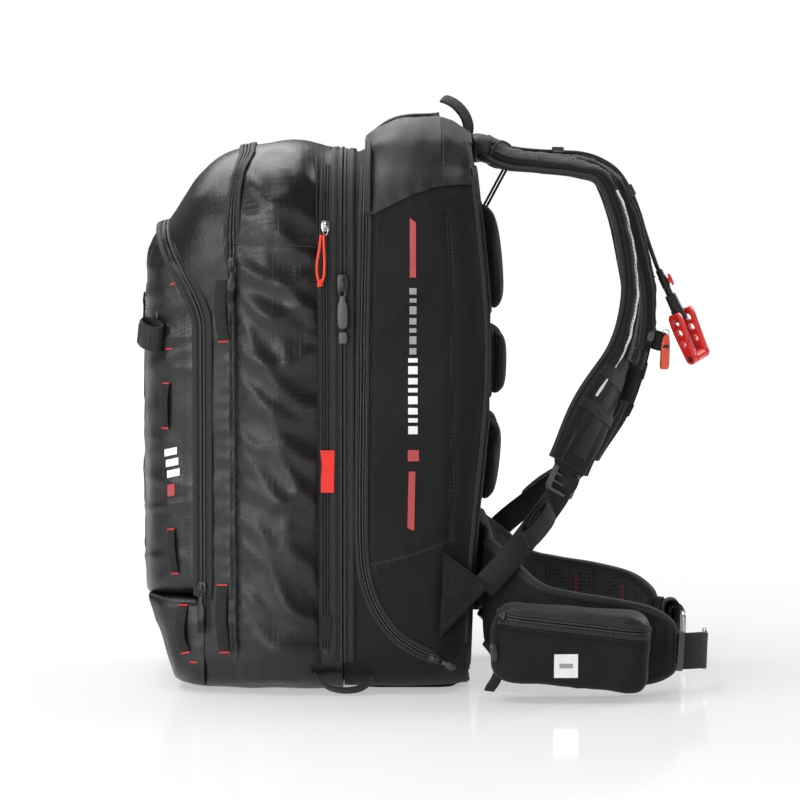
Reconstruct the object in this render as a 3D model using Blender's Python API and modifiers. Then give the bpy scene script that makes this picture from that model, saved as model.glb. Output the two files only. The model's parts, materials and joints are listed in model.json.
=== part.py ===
"""Avalanche airbag backpack, built as an assembly of separate parts.

Units are metres and +Z is up. +X points at the wearer, +Y to the wearer's left. The origin is the
middle of the flat base panel under the airbag half, so the pack stands on Z = 0.
"""

from math import asin, cos, exp, pi, radians, sin

import bmesh
import bpy
from mathutils import Matrix, Vector

# ---------------------------------------------------------------- driving dimensions
GAP = 0.0005  # clearance kept between touching parts
ZIP_X = -0.064  # plane of the full-length zip between the front bag and the airbag half
BAG_LOW = 0.003  # underside of the fabric, just above the base panels
BASE_THICK = 0.0024
FABRIC = 0.0015
LOW_CORNER = 0.045  # corner radii of the bag's outline, seen from the front
HIGH_CORNER = 0.085
CORNER_STEPS = 4

# The back follows one smooth lumbar-to-shoulder curve.
BACK_X, BACK_BULGE, BACK_BULGE_Z, BACK_SPREAD = 0.061, 0.021, 0.335, 0.17

# Bag sections: depth from the zip plane at the side, the same at the top, half width, top height.
FRONT_STATIONS = (
    (0.001, 0.001, 0.1530, 0.535),
    (0.016, 0.016, 0.1535, 0.536),
    (0.044, 0.044, 0.1570, 0.5425),
    (0.079, 0.079, 0.1570, 0.5385),
    (0.097, 0.119, 0.1550, 0.529),
    (0.112, 0.144, 0.1510, 0.510),
    (0.125, 0.163, 0.1470, 0.481),
    (0.136, 0.175, 0.1430, 0.463),
)
POCKET_LOW = 0.094
POCKET_STATIONS = (
    (0.1375, 0.1765, 0.141, 0.462),
    (0.155, 0.186, 0.137, 0.452),
    (0.175, 0.193, 0.128, 0.440),
    (0.190, 0.1965, 0.112, 0.425),
    (0.198, 0.199, 0.085, 0.400),
)
LEAN_START = 0.36  # above this height the front sections lean forward towards the top

# Airbag half: share of the depth from the zip plane to the back, half width, top height.
AIRBAG_STATIONS = (
    (0.00, 0.1530, 0.535),
    (0.09, 0.1535, 0.5335),
    (0.16, 0.1550, 0.535),
    (0.30, 0.1570, 0.546),
    (0.55, 0.1570, 0.555),
    (0.80, 0.1530, 0.552),
    (1.00, 0.1430, 0.542),
)
SHELL_TO_BACK = 0.012
# The burst flap and the rear hood: depth behind the zip plane, top height.
FLAP_STATIONS = ((0.0244, 0.547), (0.034, 0.556), (0.054, 0.566), (0.075, 0.5675), (0.094, 0.567))
HOOD_STATIONS = ((0.0955, 0.567), (0.108, 0.563), (0.119, 0.557), (0.1275, 0.551))
HOOD_HALF, HOOD_CORNER = 0.161, 0.088
FLAP_SKIRT_Z, HOOD_SKIRT_Z = (0.500, 0.550), (0.505, 0.490)  # side edges, front and rear

# Harness. Each strap path runs from the shoulder anchor to the ladder lock.
STRAP_WIDTH, STRAP_TOP_THICK, STRAP_LOW_THICK = 0.062, 0.020, 0.015
RIGHT_STRAP = (
    (0.077, -0.045, 0.538), (0.100, -0.054, 0.530), (0.1325, -0.062, 0.527), (0.1675, -0.070, 0.522),
    (0.1925, -0.076, 0.507), (0.207, -0.080, 0.475), (0.217, -0.083, 0.430), (0.221, -0.086, 0.385),
    (0.212, -0.090, 0.335), (0.189, -0.100, 0.286), (0.160, -0.115, 0.222),
)
LEFT_STRAP = (
    (0.077, 0.045, 0.538), (0.100, 0.054, 0.530), (0.1325, 0.062, 0.528), (0.178, 0.070, 0.524),
    (0.2105, 0.076, 0.506), (0.231, 0.081, 0.468), (0.242, 0.084, 0.426), (0.2475, 0.086, 0.390),
    (0.2425, 0.090, 0.345), (0.221, 0.100, 0.288), (0.184, 0.115, 0.222),
)
STRAP_TWIST = (0, 0, 0, 0, 0, 0, 0, 5, 14, 34, 58)  # degrees, face turning outwards
WEBBING, WEBBING_THICK = 0.025, 0.002

# Hip belt, as distances from the middle plane: x, y, lower edge, upper edge.
HIP_STATIONS = (
    (0.079, 0.118, 0.045, 0.150),
    (0.100, 0.140, 0.024, 0.133),
    (0.128, 0.154, 0.015, 0.109),
    (0.162, 0.159, 0.011, 0.100),
    (0.199, 0.158, 0.010, 0.094),
    (0.236, 0.150, 0.012, 0.085),
    (0.256, 0.139, 0.018, 0.072),
    (0.2615, 0.135, 0.027, 0.060),
)
HIP_THICK = 0.015

# Trigger: the cable leaves its guide down and away from the strap, and ends in the folding handle.
TRIGGER_HUB = Vector((0.3035, 0.088, 0.3217))
TRIGGER_PULL = Vector((0.42, 0.0, -0.907)).normalized()
RIVET_DIRECTION = Vector((0.707, 0.707, 0.0))
WING_LENGTH, WING_HALF, WING_THICK, WING_IN = 0.050, 0.0062, 0.0070, 0.0078

# Inflator column inside the airbag half.
BOTTLE = Vector((0.010, 0.072, 0.0))
BOTTLE_RADIUS = 0.025

# Each joint's pivot: a point on its axis, and the parts that it carries.
STRAP_PIVOT_X, STRAP_PIVOT_Z = 0.070, 0.538
PIVOTS = {
    "front_bag": ((ZIP_X, 0.0, 0.0), (
        "front_bag_shell", "lower_front_panel", "full_zip_tape", "ski_loops_left", "ski_loops_right")),
    "tool_pocket": ((-0.262, 0.0, 0.093), ("tool_pocket_panel", "ice_axe_loop")),
    "burst_flap": ((-0.0396, 0.0, 0.545), ("burst_flap",)),
    "grab_handle": ((0.0655, 0.0, 0.5585), ("grab_handle",)),
    "strap_right": ((STRAP_PIVOT_X, -0.045, STRAP_PIVOT_Z), (
        "shoulder_strap_right", "ladder_lock_right")),
    "strap_left": ((STRAP_PIVOT_X, 0.045, STRAP_PIVOT_Z), (
        "shoulder_strap_left", "ladder_lock_left", "cable_guide", "trigger_cable_strap")),
    "trigger": (TRIGGER_HUB, ("handle_hub", "handle_rivet", "pull_wire")),
    "wing_near": (TRIGGER_HUB, ("handle_wing_near",)),
    "wing_far": (TRIGGER_HUB, ("handle_wing_far",)),
    "lock_button": (TRIGGER_HUB - TRIGGER_PULL * 0.0840, ("lock_button",)),
    "firing_pin": (BOTTLE + Vector((0.0, 0.0, 0.249)), ("firing_pin",)),
    "cartridge": (BOTTLE, ("gas_cartridge",)),
    "full_zip": ((ZIP_X, -0.1570, 0.405), ("full_zip_slider",)),
    "full_zip_pull": ((ZIP_X, -0.1636, 0.396), ("full_zip_pull",)),
    "side_zip": ((-0.0835, -0.1595, 0.4595), ("side_zip_slider", "side_zip_cord")),
    "tool_zip": ((-0.1995, -0.1465, 0.1065), ("tool_zip_slider",)),
    "pouch_zip": ((0.0905, -0.2120, 0.0835), ("pouch_zip_slider",)),
    "d_zip": ((0.0265, -0.1580, 0.0525), ("d_zip_slider",)),
    "hip_right": ((0.072, -0.115, 0.090), (
        "hip_wing_right", "hip_pouch", "belt_webbing_right", "belt_buckle_hook")),
    "hip_left": ((0.072, 0.115, 0.090), ("hip_wing_left", "belt_webbing_left", "belt_buckle_loop")),
    "sternum_right": (RIGHT_STRAP[8], ("sternum_slider_right",)),
    "sternum_left": (LEFT_STRAP[8], ("sternum_slider_left",)),
    "whistle": ((0.2685, 0.066, 0.344), ("whistle",)),
}

COLLECTION = "avalanche_airbag_backpack"


# ---------------------------------------------------------------- scene and materials
def clear_scene():
    for item in list(bpy.data.objects):
        bpy.data.objects.remove(item)


def collection_named(name):
    found = bpy.data.collections.get(name)
    if found is None:
        found = bpy.data.collections.new(name)
        bpy.context.scene.collection.children.link(found)
    return found


def material(name, colour, roughness=0.7, metallic=0.0):
    made = bpy.data.materials.new(name)
    made.use_nodes = True
    shader = made.node_tree.nodes["Principled BSDF"]
    shader.inputs["Base Color"].default_value = (*colour, 1.0)
    shader.inputs["Roughness"].default_value = roughness
    shader.inputs["Metallic"].default_value = metallic
    return made


COATED = ("coated_ripstop", (0.045, 0.045, 0.048), 0.38)
RIPSTOP = ("matte_ripstop", (0.014, 0.014, 0.016), 0.8)
WEB = ("webbing", (0.012, 0.012, 0.013), 0.75)
MESH = ("spacer_mesh", (0.05, 0.05, 0.055), 0.9)
FOAM = ("moulded_foam", (0.02, 0.02, 0.022), 0.9)
ZIP = ("zip_tape", (0.022, 0.021, 0.02), 0.6)
PLASTIC = ("black_acetal", (0.03, 0.03, 0.032), 0.4)
RED = ("red_nylon", (0.75, 0.03, 0.025), 0.4)
CORD = ("red_cord", (0.75, 0.08, 0.04), 0.7)
STEEL = ("steel", (0.55, 0.56, 0.58), 0.3, 1.0)
ALLOY = ("anodised_alloy", (0.62, 0.63, 0.66), 0.35, 1.0)
SHEET = ("polyethylene_sheet", (0.03, 0.03, 0.03), 0.5)
BLADDER = ("airbag_nylon", (0.75, 0.12, 0.04), 0.7)


# ---------------------------------------------------------------- modelling helpers
def add_mesh(name, bm, look, matrix=None):
    mesh = bpy.data.meshes.new(name)
    bm.to_mesh(mesh)
    bm.free()
    made = bpy.data.objects.new(name, mesh)
    mesh.materials.append(material(name + "_" + look[0], *look[1:]))
    collection_named(COLLECTION).objects.link(made)
    if matrix is not None:
        made.matrix_world = matrix
    return made


def smooth(t):
    t = min(max(t, 0.0), 1.0)
    return t * t * (3 - 2 * t)


def mix(a, b, t):
    return a + (b - a) * t


def back_x(z):
    return BACK_X + BACK_BULGE * exp(-(((z - BACK_BULGE_Z) / BACK_SPREAD) ** 2))


def ring(half_width, low, high, x_at, low_corner=LOW_CORNER, high_corner=HIGH_CORNER, side=6):
    """Outline of a bag section, from the bottom middle up the left side, over, and down the right."""
    half = [(0.0, low)]
    for k in range(CORNER_STEPS + 1):
        turn = -pi / 2 + pi / 2 * k / CORNER_STEPS
        half.append((half_width - low_corner * (1 - cos(turn)), low + low_corner * (1 + sin(turn))))
    for k in range(1, side):
        half.append((half_width, mix(low + low_corner, high - high_corner, k / side)))
    for k in range(CORNER_STEPS + 1):
        turn = pi / 2 * k / CORNER_STEPS
        half.append((half_width - high_corner * (1 - cos(turn)), high - high_corner * (1 - sin(turn))))
    half.append((0.0, high))
    outline = half + [(-y, z) for y, z in reversed(half[1:-1])]
    return [Vector((x_at(z), y, z)) for y, z in outline]


def skin(name, rings, look, thickness=FABRIC, loop=True, cap=False, offset=-1):
    """A fabric skin through the rings, thickened; cap closes the last ring."""
    bm = bmesh.new()
    rows = [[bm.verts.new(point) for point in points] for points in rings]
    count = len(rows[0])
    steps = range(count if loop else count - 1)
    for a, b in zip(rows, rows[1:]):
        for k in steps:
            m = (k + 1) % count
            bm.faces.new((a[k], a[m], b[m], b[k]))
    if cap:
        last, top = rows[-1], count // 2
        for k in range(1, top - 1):
            corners = [last[k], last[k + 1], last[count - k - 1], last[count - k]]
            if k == 1:
                corners.append(last[0])
            if k == top - 2:
                corners.insert(2, last[top])
            bm.faces.new(corners)
    bmesh.ops.recalc_face_normals(bm, faces=bm.faces)
    middle = sum((v.co for v in bm.verts), Vector()) / len(bm.verts)
    outward = sum(f.normal.dot(f.calc_center_median() - middle) * f.calc_area() for f in bm.faces)
    if outward < 0:
        bmesh.ops.reverse_faces(bm, faces=bm.faces)
    made = add_mesh(name, bm, look)
    shell = made.modifiers.new("thickness", "SOLIDIFY")
    shell.thickness = thickness
    shell.offset = offset
    return made


def loft(name, sections, look, matrix=None):
    """A closed solid through closed sections, with a fan over each end."""
    bm = bmesh.new()
    rows = [[bm.verts.new(point) for point in points] for points in sections]
    count = len(rows[0])
    for a, b in zip(rows, rows[1:]):
        for k in range(count):
            m = (k + 1) % count
            bm.faces.new((a[k], a[m], b[m], b[k]))
    ends = [bm.faces.new(rows[0]), bm.faces.new(rows[-1])]
    bmesh.ops.poke(bm, faces=ends)
    bmesh.ops.recalc_face_normals(bm, faces=bm.faces)
    return add_mesh(name, bm, look, matrix)


def chamfered(half_width, half_height, corner):
    """Eight corners of a rectangle with its corners cut."""
    w, h, c = half_width, half_height, corner
    upper = [(w, h - c), (w - c, h), (c - w, h), (-w, h - c)]
    return upper + [(-y_out, -z_out) for y_out, z_out in upper]


def curve_through(points, steps):
    """Catmull-Rom points, with this many steps between the given ones."""
    points = [Vector(p) for p in points]
    ends = [2 * points[0] - points[1]] + points + [2 * points[-1] - points[-2]]
    found = []
    for a, b, c, d in zip(ends, ends[1:], ends[2:], ends[3:]):
        for k in range(steps):
            t = k / steps
            found.append(0.5 * (2 * b + (c - a) * t + (2 * a - 5 * b + 4 * c - d) * t**2
                                + (3 * b - a - 3 * c + d) * t**3))
    return found + [points[-1]]


def frames_along(points, side, twists):
    """Point, width direction and outward normal at each point of a path."""
    found = []
    last = len(points) - 1
    for k, point in enumerate(points):
        tangent = (points[min(k + 1, last)] - points[max(k - 1, 0)]).normalized()
        flat = (side - side.dot(tangent) * tangent).normalized()
        lift = tangent.cross(flat)
        turn = radians(twists[k])
        width = cos(turn) * flat + sin(turn) * lift
        found.append((point, width, tangent.cross(width)))
    return found


def ribbon(name, points, look, width=WEBBING, thick=WEBBING_THICK, side=(0, 1, 0), twist=0, steps=3):
    """Webbing of a flat section along a smooth path."""
    path = curve_through(points, steps)
    sections = []
    for point, across, up in frames_along(path, Vector(side), [twist] * len(path)):
        flat = chamfered(width / 2, thick / 2, thick * 0.3)
        sections.append([point + across * a + up * b for a, b in flat])
    return loft(name, sections, look)


def box(name, low, high, look, bevel=0.0, segments=2, matrix=None):
    low, high = Vector(low), Vector(high)
    bm = bmesh.new()
    bmesh.ops.create_cube(bm, size=1.0)
    for v in bm.verts:
        v.co = Vector(mix(low[i], high[i], v.co[i] + 0.5) for i in range(3))
    made = add_mesh(name, bm, look, matrix)
    if bevel:
        edge = made.modifiers.new("edges", "BEVEL")
        edge.width = bevel
        edge.segments = segments
    return made


def axis_matrix(origin, direction):
    """Places a part so that its own +Z runs along the direction."""
    turn = Vector(direction).to_track_quat("Z", "Y").to_matrix().to_4x4()
    return Matrix.Translation(origin) @ turn


def turned(name, profile, look, matrix, steps=16, closed=False):
    """A turned part: (radius, height) pairs from the top down its outer side."""
    bm = bmesh.new()
    verts = [bm.verts.new((radius, 0.0, height)) for radius, height in profile]
    pairs = list(zip(verts, verts[1:]))
    if closed:
        pairs.append((verts[-1], verts[0]))
    for pair in pairs:
        bm.edges.new(pair)
    made = add_mesh(name, bm, look, matrix)
    spin = made.modifiers.new("turn", "SCREW")
    spin.steps = spin.render_steps = steps
    spin.use_merge_vertices = True
    spin.merge_threshold = 0.00001
    return made


def rod_profile(radius, low, high):
    return [(0.0, high), (radius, high), (radius, low), (0.0, low)]


def tube_profile(outer, inner, low, high):
    return [(outer, high), (outer, low), (inner, low), (inner, high)]


def cable(name, points, radius, look):
    """A round cable or cord: a poly curve with filled caps, turned into a mesh."""
    shape = bpy.data.curves.new(name, "CURVE")
    shape.dimensions = "3D"
    shape.bevel_depth = radius
    shape.bevel_resolution = 2
    shape.use_fill_caps = True
    spline = shape.splines.new("POLY")
    spline.points.add(len(points) - 1)
    for target, point in zip(spline.points, points):
        target.co = (*point, 1.0)
    made = bpy.data.objects.new(name, shape)
    shape.materials.append(material(name + "_" + look[0], *look[1:]))
    collection_named(COLLECTION).objects.link(made)
    return made


def plate(name, outlines, thickness, look, matrix):
    """A flat plate from 2D outlines, the first the edge and the rest its holes."""
    shape = bpy.data.curves.new(name, "CURVE")
    shape.dimensions = "2D"
    shape.fill_mode = "BOTH"
    shape.extrude = thickness / 2
    for outline in outlines:
        spline = shape.splines.new("POLY")
        spline.points.add(len(outline) - 1)
        for target, (x, y) in zip(spline.points, outline):
            target.co = (x, y, 0.0, 1.0)
        spline.use_cyclic_u = True
    made = bpy.data.objects.new(name, shape)
    shape.materials.append(material(name + "_" + look[0], *look[1:]))
    collection_named(COLLECTION).objects.link(made)
    made.matrix_world = matrix
    return made


def circle(x, y, radius, count=12):
    turns = [2 * pi * k / count for k in range(count)]
    return [(x + radius * cos(turn), y + radius * sin(turn)) for turn in turns]


def cut(target, cutter):
    """Takes the cutter out of the target, and keeps the cutter as a wire guide."""
    for holder in list(cutter.users_collection):
        holder.objects.unlink(cutter)
    collection_named("cutters").objects.link(cutter)
    cutter.hide_render = True
    cutter.display_type = "WIRE"
    boolean = target.modifiers.new("cut", "BOOLEAN")
    boolean.operation = "DIFFERENCE"
    boolean.solver = "EXACT"
    boolean.object = cutter


# ---------------------------------------------------------------- front bag
def leaning_x(side_depth, top_depth, high):
    def x_at(z):
        lean = smooth((z - LEAN_START) / (high - LEAN_START))
        return ZIP_X - mix(side_depth, top_depth, lean)

    return x_at


def make_front_bag():
    rings = [
        ring(half, 0.0, high, leaning_x(side, top, high))
        for side, top, half, high in FRONT_STATIONS
    ]
    skin("front_bag_shell", rings, COATED, cap=True)

    def toe_x(share):
        return lambda z: ZIP_X - mix(0.1375, 0.165 + 0.3 * z, share)

    stations = ((0.0, 0.142, 0.004), (0.4, 0.138, 0.005), (0.8, 0.127, 0.007), (1.0, 0.112, 0.010))
    toe = [
        ring(half, low, 0.0925, toe_x(share), 0.030, 0.012, side=2) for share, half, low in stations
    ]
    skin("lower_front_panel", toe, COATED, cap=True)


def make_zip_tape():
    """The full-length zip: a tape up one side, over the top and down the other."""
    edges = []
    for x in (ZIP_X - 0.0125, ZIP_X - GAP):
        outline = ring(0.1542, BAG_LOW, 0.5367, lambda z, x=x: x)
        edges.append([point for point in outline if point.z >= 0.03])
    skin("full_zip_tape", edges, ZIP, thickness=0.0016, loop=False, offset=1)


def make_ski_loops():
    """Webbing down each gusset, sewn at four places and slack between them."""
    x, seat, bow = -0.182, 0.1513, 0.0035
    for sign, hand in ((-1, "right"), (1, "left")):
        path = [(x, sign * (seat + out), z) for z, out in (
            (0.041, 0.0), (0.060, bow), (0.088, bow), (0.106, 0.0), (0.230, 0.0),
            (0.350, 0.0), (0.366, bow), (0.390, bow), (0.406, 0.0028))]
        ribbon(f"ski_loops_{hand}", path, WEB, width=0.014, side=(1, 0.3 * sign, 0), steps=2)


# ---------------------------------------------------------------- tool pocket
def make_tool_pocket():
    rings = [
        ring(half, POCKET_LOW, high, leaning_x(side, top, high), 0.02, 0.075)
        for side, top, half, high in POCKET_STATIONS
    ]
    skin("tool_pocket_panel", rings, COATED, cap=True)
    corner = Matrix.Translation((ZIP_X - 0.1885, -0.1250, 0.3535)) @ Matrix.Rotation(radians(43), 4, "Z")
    webbing = [chamfered(0.0058, 0.0150, 0.003), chamfered(0.0040, 0.0132, 0.002)]
    plate("ice_axe_loop", webbing, 0.034, WEB, corner)


# ---------------------------------------------------------------- airbag half
def make_airbag_half():
    start = ZIP_X + 0.001

    def x_between(share):
        return lambda z: mix(start, back_x(z) - SHELL_TO_BACK, share)

    rings = [ring(half, BAG_LOW, high, x_between(share)) for share, half, high in AIRBAG_STATIONS]
    shell = skin("airbag_shell", rings, RIPSTOP, cap=True)
    outlet = box("airbag_outlet_cutter", (-0.034, -0.105, 0.515), (0.026, 0.105, 0.590), RIPSTOP)
    cut(shell, outlet)
    port = box("cable_port_cutter", (0.035, 0.036, 0.526), (0.075, 0.052, 0.541), RIPSTOP)
    cut(shell, port)
    box("base_panel", (-0.050, -0.108, 0.0), (0.050, 0.108, BASE_THICK), RIPSTOP)
    divider = ring(0.1500, 0.0055, 0.5305, lambda z: 0.0)
    flat = [(p.y, p.z) for p in divider]
    upright = Matrix(((0, 0, 1, ZIP_X + 0.0135), (1, 0, 0, 0), (0, 1, 0, 0), (0, 0, 0, 1)))
    plate("divider_panel", [flat], 0.001, RIPSTOP, upright)


def hood_arc(depth, high, skirt_z, steps=5):
    """Cross-section of the hood, from its left skirt over the top to its right skirt."""
    centre = high - HOOD_CORNER
    lowest = asin((skirt_z - centre) / HOOD_CORNER)
    half = []
    for k in range(steps + 1):
        turn = mix(lowest, pi / 2, k / steps)
        half.append((HOOD_HALF - HOOD_CORNER * (1 - cos(turn)), centre + HOOD_CORNER * sin(turn)))
    outline = half + [(0.0, high)] + [(-y, z) for y, z in reversed(half)]
    return [Vector((ZIP_X + depth, y, z)) for y, z in outline]


def hood_band(name, stations, skirts, look):
    first, last = stations[0][0], stations[-1][0]
    arcs = [
        hood_arc(depth, high, mix(*skirts, (depth - first) / (last - first)))
        for depth, high in stations
    ]
    skin(name, arcs, look, loop=False)


def make_hood():
    hood_band("burst_flap", FLAP_STATIONS, FLAP_SKIRT_Z, COATED)
    hood_band("hood_rear", HOOD_STATIONS, HOOD_SKIRT_Z, COATED)
    arch = [
        (0.0655, -0.046, 0.5585), (0.056, -0.043, 0.5685), (0.042, -0.030, 0.580), (0.034, 0.0, 0.5855),
        (0.042, 0.030, 0.580), (0.056, 0.043, 0.5685), (0.0655, 0.046, 0.5585),
    ]
    ribbon("grab_handle", arch, WEB, width=0.009, thick=0.005, side=(0.7, 0, 0.7))


def back_slab(name, y_low, y_high, z_low, z_high, near, far, look, steps=12):
    """A sheet that follows the back's curve, between two distances in front of the back face."""
    sections = []
    for k in range(steps + 1):
        z = mix(z_low, z_high, k / steps)
        x_in, x_out = back_x(z) - near, back_x(z) - far
        sections.append([Vector(p) for p in (
            (x_in, y_low, z), (x_out, y_low, z), (x_out, y_high, z), (x_in, y_high, z))])
    return loft(name, sections, look)


def back_pad(name, y_low, y_high, z_low, z_high, depth, look, steps=8):
    """A foam pad standing on the back panel, rounded over all its edges."""
    sections = []
    for k in range(steps + 1):
        share = k / steps
        z = mix(z_low, z_high, share)
        crown = max(1 - abs(2 * share - 1) ** 4, 0.0) ** 0.5
        x_in = back_x(z) + 0.0012
        deep = depth * mix(0.30, 1.0, crown)
        inset = 0.008 * (1 - crown)
        middle, half = (y_low + y_high) / 2, (y_high - y_low) / 2 - inset
        sections.append([
            Vector((x_in + deep / 2 + a, middle + b, z)) for a, b in chamfered(deep / 2, half, deep * 0.3)
        ])
    return loft(name, sections, look)


def make_back():
    back_slab("frame_sheet", -0.120, 0.120, 0.030, 0.510, 0.0110, 0.0090, SHEET)
    for sign, hand in ((-1, "right"), (1, "left")):
        low, high = sorted((sign * 0.054, sign * 0.066))
        back_slab(f"stay_{hand}", low, high, 0.035, 0.500, 0.0083, 0.0058, ALLOY)
    back_slab("back_panel", -0.136, 0.136, 0.020, 0.518, 0.0050, 0.0, MESH)
    rows = (("upper", 0.374, 0.483), ("middle", 0.290, 0.358), ("lower", 0.184, 0.268))
    for row, z_low, z_high in rows:
        back_pad(f"back_pad_{row}", -0.112, 0.112, z_low, z_high, 0.018, FOAM)
    back_pad("lumbar_pad", -0.098, 0.098, 0.070, 0.168, 0.020, FOAM)


def make_airbag_system():
    box("airbag_folded", (-0.036, -0.120, 0.335), (0.026, 0.120, 0.512), BLADDER, bevel=0.02)
    here = Matrix.Translation(BOTTLE)
    inside = BOTTLE_RADIUS - 0.0025
    bottle = [
        (0.0, 0.031), (0.018, 0.034), (inside, 0.042), (inside, 0.189), (0.0125, 0.2045),
        (0.003, 0.2095), (0.003, 0.232), (0.0075, 0.232), (0.0075, 0.212), (0.014, 0.207),
        (BOTTLE_RADIUS, 0.190), (BOTTLE_RADIUS, 0.040), (0.020, 0.031), (0.0, 0.028),
    ]
    turned("gas_cartridge", bottle, STEEL, here, steps=20)
    head = [
        (0.0195, 0.290), (0.0195, 0.220), (0.0082, 0.220), (0.0082, 0.2335), (0.003, 0.2335),
        (0.003, 0.246), (0.0115, 0.246), (0.0115, 0.290),
    ]
    turned("percussion_head", head, ALLOY, here, closed=True, steps=20)
    cap = [
        (0.0195, 0.2990), (0.0195, 0.2905), (0.0112, 0.2905), (0.0112, 0.2870), (0.0030, 0.2870),
        (0.0030, 0.2990),
    ]
    turned("head_cap", cap, ALLOY, here, closed=True, steps=20)
    pin = [
        (0.0, 0.283), (0.0016, 0.283), (0.0016, 0.254), (0.0090, 0.254), (0.0090, 0.249),
        (0.0016, 0.249), (0.0016, 0.2345), (0.0, 0.2330),
    ]
    turned("firing_pin", pin, STEEL, here, steps=12)
    turns, rise, coil = 5, 0.0285, 0.0068
    wire = [
        BOTTLE + Vector((coil * cos(2 * pi * k / 10), coil * sin(2 * pi * k / 10),
                         0.2560 + rise * k / (10 * turns)))
        for k in range(10 * turns + 1)
    ]
    cable("pin_spring", wire, 0.0007, STEEL)
    inflator = [
        (0.0, 0.014), (0.016, 0.016), (0.022, 0.024), (0.022, 0.068), (0.0175, 0.078),
        (0.020, 0.078), (0.026, 0.070), (0.026, 0.018), (0.018, 0.010), (0.018, 0.0), (0.0, 0.0),
    ]
    place = axis_matrix(Vector((BOTTLE.x, BOTTLE.y - 0.0205, 0.262)), (0, -1, 0))
    turned("inflator_body", inflator, ALLOY, place, steps=20)


# ---------------------------------------------------------------- harness
def strap_frames(points, sign, steps=2):
    path = curve_through(points, steps)
    twists = []
    for k in range(len(path)):
        low = min(k // steps, len(STRAP_TWIST) - 2)
        twists.append(-sign * mix(STRAP_TWIST[low], STRAP_TWIST[low + 1], k / steps - low))
    return frames_along(path, Vector((0, 1, 0)), twists)


def strap_half_thick(share):
    return mix(STRAP_TOP_THICK, STRAP_LOW_THICK, smooth(share * 2)) / 2


def make_shoulder_strap(hand, sign, points):
    frames = strap_frames(points, sign)
    sections = []
    for k, (point, width, normal) in enumerate(frames):
        share = k / (len(frames) - 1)
        half = STRAP_WIDTH / 2 * mix(0.80, 1.0, smooth(share * 6))
        thick = strap_half_thick(share)
        flat = chamfered(half, thick, thick * 0.55)
        sections.append([point + width * a + normal * b for a, b in flat])
    loft(f"shoulder_strap_{hand}", sections, MESH)
    end, before = frames[-1], frames[-2]
    along = (end[0] - before[0]).normalized()
    lock = Matrix.Translation(end[0] + along * 0.016)
    for column, axis in enumerate((end[1], along, end[2])):
        lock.col[column].xyz = axis
    ladder = [chamfered(0.0165, 0.0145, 0.003)]
    slot = chamfered(0.0130, 0.0032, 0.0006)
    ladder += [[(x, y + shift) for x, y in slot] for shift in (-0.0075, 0.0005, 0.0085)]
    plate(f"ladder_lock_{hand}", ladder, 0.005, PLASTIC, lock)
    start = end[0] + along * 0.034
    over_wing = Vector((0.1060, sign * 0.1545, 0.1420))
    anchor = Vector((0.0735, sign * 0.1570, 0.1060))
    ribbon(f"adjuster_webbing_{hand}", [start, over_wing, anchor], WEB, side=(0.7, 0, -0.6), steps=4)


def make_sternum_slider(hand, sign, points):
    frames = strap_frames(points, sign)
    point, width, normal = frames[16]
    thick = strap_half_thick(16 / (len(frames) - 1))
    along = width.cross(normal).normalized()
    seat = Matrix.Translation(point + normal * (thick + 0.0020))
    for column, axis in enumerate((width, along, normal)):
        seat.col[column].xyz = axis
    box(f"sternum_slider_{hand}", (-0.022, -0.008, 0), (0.022, 0.008, 0.006), PLASTIC, 0.0015, 1, seat)


def make_hip_wing(hand, sign):
    sections = []
    stations = [Vector((x, sign * y, 0)) for x, y, _, _ in HIP_STATIONS]
    last = len(stations) - 1
    for k, (_, _, low, high) in enumerate(HIP_STATIONS):
        tangent = (stations[min(k + 1, last)] - stations[max(k - 1, 0)]).normalized()
        normal = Vector((-tangent.y, tangent.x, 0))
        flat = chamfered(HIP_THICK / 2, (high - low) / 2, HIP_THICK * 0.3)
        middle = stations[k] + Vector((0, 0, (low + high) / 2))
        sections.append([middle + normal * a + Vector((0, 0, b)) for a, b in flat])
    loft(f"hip_wing_{hand}", sections, MESH)


def make_hip_belt():
    for hand, sign in (("right", -1), ("left", 1)):
        make_hip_wing(hand, sign)
    near = [
        (0.2645, -0.131, 0.040), (0.278, -0.123, 0.039), (0.290, -0.111, 0.038), (0.297, -0.096, 0.036),
    ]
    ribbon("belt_webbing_right", near, WEB, width=0.036, thick=0.0022, side=(0, 0, 1))
    far = [(0.2645, 0.131, 0.043), (0.276, 0.123, 0.042), (0.285, 0.110, 0.039), (0.289, 0.094, 0.034)]
    ribbon("belt_webbing_left", far, WEB, width=0.036, thick=0.0022, side=(0, 0, 1))
    box("belt_buckle_hook", (0.294, -0.0915, 0.016), (0.301, -0.0650, 0.056), ALLOY, 0.002, 1)
    box("belt_buckle_loop", (0.285, 0.0600, 0.014), (0.292, 0.0860, 0.054), ALLOY, 0.002, 1)


def pouch_outline(y, grow):
    """Rounded outline of the hip pouch in one upright plane."""
    corners = ((0.0785, 0.0200), (0.2330, 0.0060), (0.2365, 0.0850), (0.0860, 0.0965))
    rounding = 0.016
    middle = Vector((0.158, 0.052))
    found = []
    for k, corner in enumerate(corners):
        before, after = Vector(corners[k - 1]), Vector(corners[(k + 1) % 4])
        corner = Vector(corner)
        centre_in = (before - corner).normalized() * rounding
        centre_out = (after - corner).normalized() * rounding
        for step in range(4):
            t = step / 3
            bend = corner + (1 - t) ** 2 * centre_in + t**2 * centre_out
            flat = middle + (bend - middle) * grow
            found.append(Vector((flat.x, y, flat.y)))
    return found


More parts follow.
